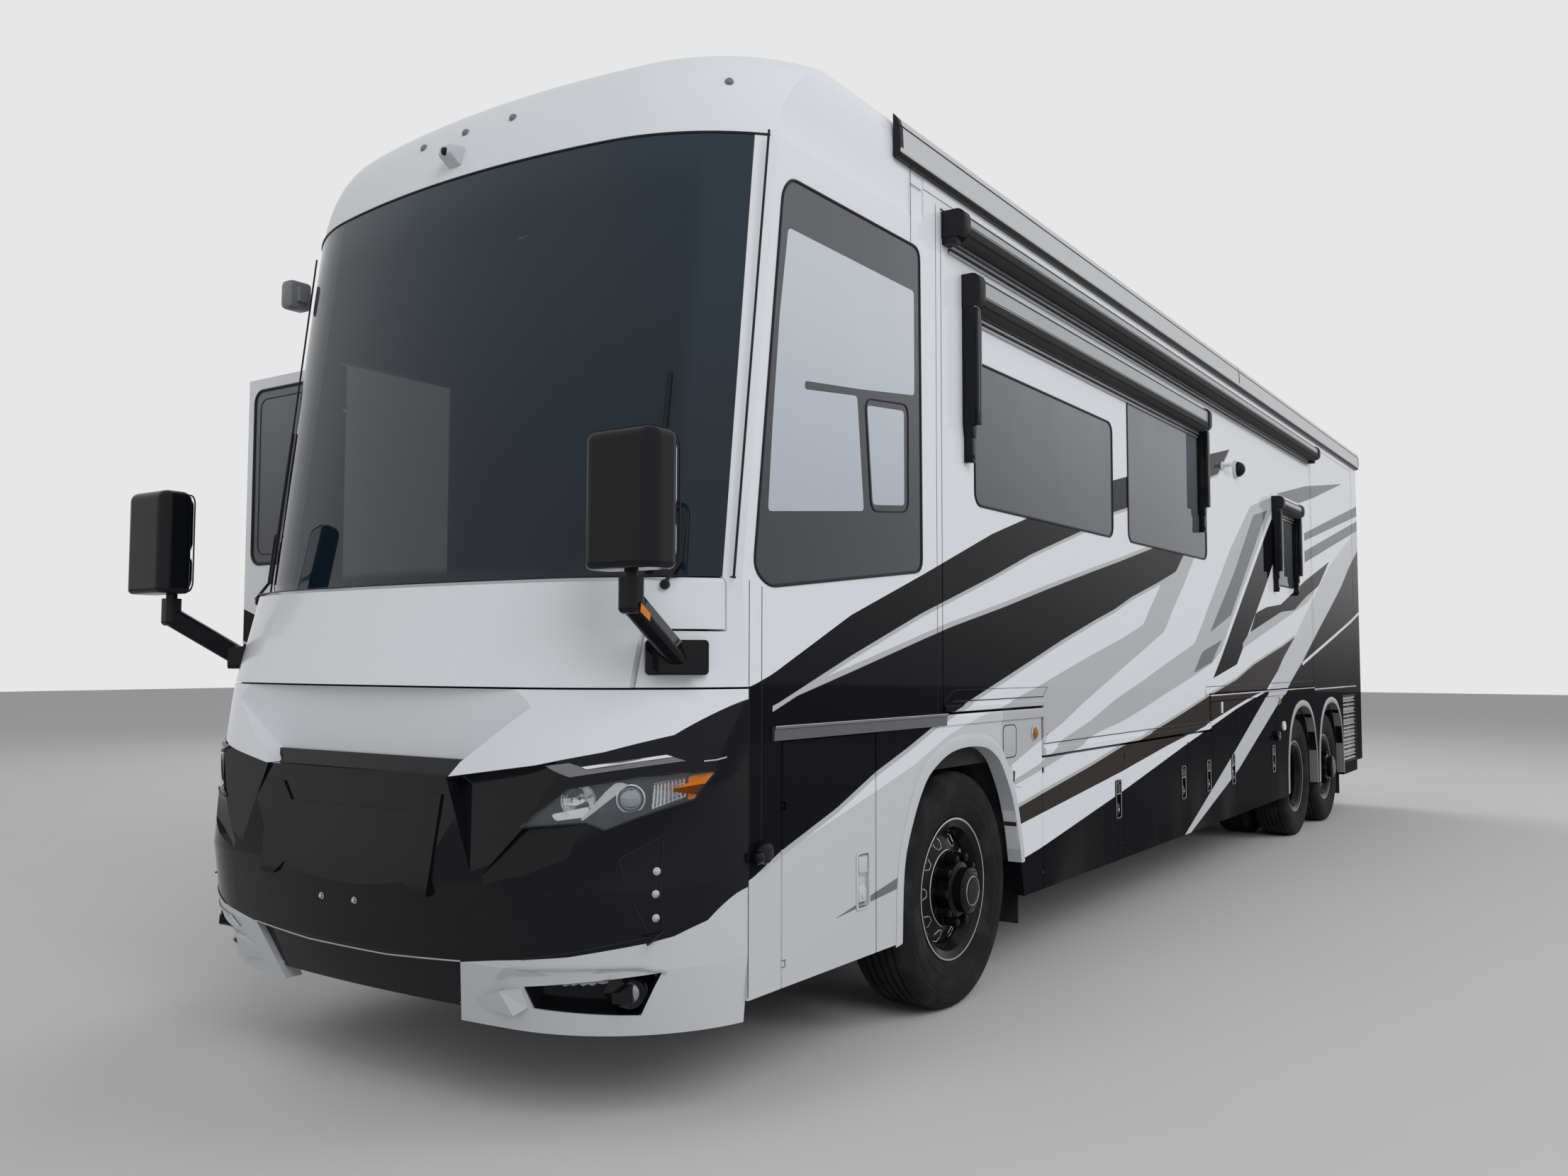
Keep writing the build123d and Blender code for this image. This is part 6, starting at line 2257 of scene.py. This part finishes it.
@dataclass(frozen=True)
class EntryDoorDress(Dress):
    """Gasket, handle, edge seal and inner panel of the open entry door."""

    hinge: Point = (1.438, -1.274, 0.0)
    pane: tuple[float, float, float, float] = (0.815, 1.385, 1.990, 2.850)

    def build(self) -> None:
        """Builds the dress closed, then turns it with the door."""
        y = -HALF
        form = Form()
        form.bead(rounded(*self.pane, 0.060, 6), y - 0.0005, 0.0080)
        form.bead(rounded(0.860, 1.340, 2.035, 2.805, 0.050, 6), y - 0.0005, 0.0030, 6)
        form.box((0.766, y + 0.058, 0.450), (0.776, y + 0.066, 2.895), 0.003)
        form.box((0.766, y + 0.058, 2.886), (1.425, y + 0.066, 2.896), 0.003)
        form.turn(90, self.hinge)
        self.shop.piece(form, "entry_door_seals", self.looks.satin, "flap_rubber", 50.0, "entry_door")
        form = Form()
        form.plate(rounded(0.812, 0.882, 1.480, 1.640, 0.014), y, -0.004, 0.0015)
        form.box((0.822, y - 0.012, 1.560), (0.872, y - 0.003, 1.626), 0.004)
        form.rod((0.847, y - 0.002, 1.512), (0.847, y - 0.010, 1.512), 0.012, None, 20, 0.002)
        form.turn(90, self.hinge)
        self.shop.piece(form, "entry_door_handle", self.looks.black, "gloss_black", 40.0, "entry_door")
        form = Form()
        form.plate(rounded(0.800, 1.405, 0.520, 1.900, 0.030), y + 0.060, 0.012, 0.004)
        grip = [(0.90, y + 0.072, 1.42), (0.90, y + 0.105, 1.44), (0.90, y + 0.105, 1.68), (0.90, y + 0.072, 1.70)]
        form.tube(grip, 0.010, 12)
        form.turn(90, self.hinge)
        self.shop.piece(form, "entry_door_lining", self.looks.moulded, "cab_plastic", 40.0, "entry_door")


@dataclass(frozen=True)
class RearDress(Dress):
    """Louvres, latches, seams and lamp details of the rear."""

    face: float = -9.660

    def build(self) -> None:
        """Builds the rear's detail."""
        form = Form()
        for count in range(9):
            z = 0.860 + 0.042 * count
            near, out = self.face + 0.002, self.face - 0.012
            form.plate([(near, z), (out, z - 0.004), (out, z + 0.006), (near, z + 0.026)], -0.55, 1.10)
        self.shop.piece(form, "engine_door_louvres", self.looks.black, "gloss_black", 20.0, "engine_door")
        form = Form()
        for y in (-0.62, 0.62):
            form.rod((self.face + 0.001, y, 0.830), (self.face - 0.008, y, 0.830), 0.020, None, 24, 0.003)
        self.shop.piece(form, "engine_door_latches", self.looks.chrome, "trim_chrome", body="engine_door")
        form = Form()
        rings = Form()
        for s in (1, -1):
            for z in (1.200, 1.400, 1.600):
                centre = (self.face - 0.025, s * 1.020, z)
                rows = ((0.0, 0.012), (0.024, 0.011), (0.040, 0.007), (0.046, 0.0))
                form.lathe(rows, centre, (-1.0, 0.0, 0.0), 32)
                ring = ((0.0465, 0.0), (0.0530, 0.0), (0.0520, 0.007), (0.0470, 0.009))
                rings.lathe(ring, centre, (-1.0, 0.0, 0.0), 36, True)
        self.shop.piece(form, "tail_lamp_lenses", self.looks.red, "tail_red")
        self.shop.piece(rings, "tail_lamp_rings", self.looks.chrome, "trim_chrome")
        form = Form()
        for s in (1, -1):
            form.box((self.face - 0.001, s * 1.095, 0.55), (self.face + 0.001, s * 1.098, 3.70))
        form.box((self.face - 0.001, -1.1, 1.760), (self.face + 0.001, 1.1, 1.7635))
        self.shop.piece(form, "rear_seams", self.looks.satin, "gloss_black")


@dataclass(frozen=True)
class GrilleDress(Dress):
    """Bright slats over the side grilles."""

    x0: float = -9.140
    x1: float = -8.490
    z0: float = 0.545
    z1: float = 1.165
    slats: int = 17

    def build(self) -> None:
        """Builds the slats and the frames."""
        form, back = Form(), Form()
        for count in range(self.slats):
            z = self.z0 + (self.z1 - self.z0) * count / (self.slats - 1)
            slat = [(1.262, z - 0.002), (1.2835, z - 0.010), (1.2850, z - 0.004), (1.266, z + 0.012)]
            form.bar(slat, self.x0, self.x1)
        self.shop.piece(form.mirror(), "side_grille_slats", self.looks.silver, "trim_chrome", 20.0)
        back.bead(rounded(-9.150, -8.480, 0.520, 1.180, 0.012), 1.284, 0.006, 6)
        back.box((self.x0, 1.150, 0.520), (self.x1, 1.160, 1.180))
        self.shop.piece(back.mirror(), "side_grille_frames", self.looks.satin, "gloss_black", 40.0)


@dataclass(frozen=True)
class RoofDress(Dress):
    """Grilles and vents on the roof."""

    units: tuple[float, ...] = (-1.500, -6.200)

    def build(self) -> None:
        """Builds the roof's detail."""
        form = Form()
        for x in self.units:
            for count in range(7):
                z = 3.885 + count * 0.014
                for s in (1, -1):
                    form.box((x - 0.36, s * 0.3605, z), (x + 0.36, s * 0.3585, z + 0.006))
                y = -0.18 + count * 0.06
                form.box((x - 0.30, y - 0.006, 4.0445), (x + 0.30, y + 0.006, 4.0465), 0.001)
        self.shop.piece(form, "roof_unit_grilles", self.looks.satin, "gloss_black")
        form = Form()
        for x in (-3.3, -4.7, -8.0):
            for half, corner, high, soft in ((0.20, 0.04, 0.075, 0.018), (0.235, 0.05, 0.018, 0.004)):
                outline = rounded(x - half, x + half, -half, half, corner)
                form.prism([(px, py, 3.838) for px, py in outline], (0.0, 0.0, high), soft)
        self.shop.piece(form, "roof_vents", self.looks.pearl_trim, "roof_white", 35.0)


@dataclass(frozen=True)
class CabDress(Dress):
    """Captain's chairs with their bases, an instrument binnacle and a screen of the cab."""

    seats: tuple[float, ...] = (0.620, -0.420)

    def build(self) -> None:
        """Builds the cab's pieces."""
        cushions = Form()
        for y in self.seats:
            cushions.box((0.455, y - 0.245, 1.500), (0.955, y + 0.245, 1.615), 0.045)
            cushions.box((0.470, y - 0.150, 1.585), (0.930, y + 0.150, 1.618), 0.015)
            cushions.box((0.385, y - 0.250, 1.640), (0.495, y + 0.250, 2.090), 0.045)
            cushions.box((0.470, y - 0.155, 1.690), (0.500, y + 0.155, 2.060), 0.014)
            cushions.box((0.390, y - 0.150, 2.085), (0.490, y + 0.150, 2.255), 0.040)
            for s in (1, -1):
                cushions.box((0.480, y + s * 0.225, 1.745), (0.860, y + s * 0.258, 1.800), 0.016)
        seats = self.shop.piece(cushions, "cab_chairs", self.looks.leather, "cab_leather", 40.0)
        base = Form()
        for y in self.seats:
            base.box((0.560, y - 0.15, 1.1205), (0.820, y + 0.15, 1.500), 0.02)
            base.box((0.455, y - 0.24, 1.478), (0.950, y + 0.24, 1.512), 0.012)
            base.box((0.381, y - 0.23, 1.480), (0.420, y + 0.23, 2.060), 0.012)
        self.shop.piece(base, "cab_chair_bases", self.looks.moulded, "cab_plastic", 40.0)
        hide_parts("cab_seats")
        form = Form()
        hood = [(1.50, 0.36, 1.7005), (1.50, 0.88, 1.7005), (1.42, 0.86, 1.790), (1.42, 0.38, 1.790)]
        form.prism(hood, (0.16, 0.0, 0.0), 0.01)
        form.box((1.46, -0.30, 1.7005), (1.50, 0.22, 1.860), 0.012)
        self.shop.piece(form, "cab_binnacle", self.looks.moulded, "cab_plastic", 40.0)
        form = Form()
        form.box((1.455, -0.275, 1.725), (1.4605, 0.195, 1.840), 0.002)
        self.shop.piece(form, "cab_screen", self.looks.black, "gloss_black")


def main() -> None:
    """Builds the scene in order."""
    logging.basicConfig(level=logging.INFO, format="%(name)s: %(message)s")
    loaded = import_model()
    frame = Frame(loaded["nodes"], loaded["record"])
    bpy.context.scene.view_settings.view_transform = "Standard"
    Viewpoint().build(frame.offset)
    Studio().build(frame.offset)
    finishes = Finishes(frame.offset)
    frame.dress(finishes, {
        "entry_door": finishes.door_paint,
        "windscreen": finishes.screen,
        "side_glass": finishes.tint,
        "bumper": finishes.frost,
        "nose_panel": finishes.white,
        "roof_awnings": finishes.case,
        "mask": finishes.black,
        "roof_units": finishes.white,
    })
    shop = Shop(frame, finishes)
    assemblies = (
        TyreSet(shop),
        WheelTrim(shop),
        Headlamps(shop),
        NoseTrim(shop),
        CapFittings(shop),
        MirrorTrim(shop),
        SideGlazing(shop),
        DoorFittings(shop),
        SideTrim(shop),
        AwningDress(shop, "topper", -7.110, 0.236, 3.366, 3.484, 0.113, 0.0),
        AwningDress(shop, "long_awning", -3.640, 0.040, 3.103, 3.254, 0.090, 2.410),
        AwningDress(shop, "short_awning", -6.480, -5.690, 2.772, 2.885, 0.095, 2.100),
        RoofCaseDress(shop),
        EntryDoorDress(shop),
        RearDress(shop),
        GrilleDress(shop),
        RoofDress(shop),
        CabDress(shop),
    )
    for assembly in assemblies:
        assembly.build()
    LOG.info("added %d triangles", shop.triangles)


if __name__ == "__main__":
    main()
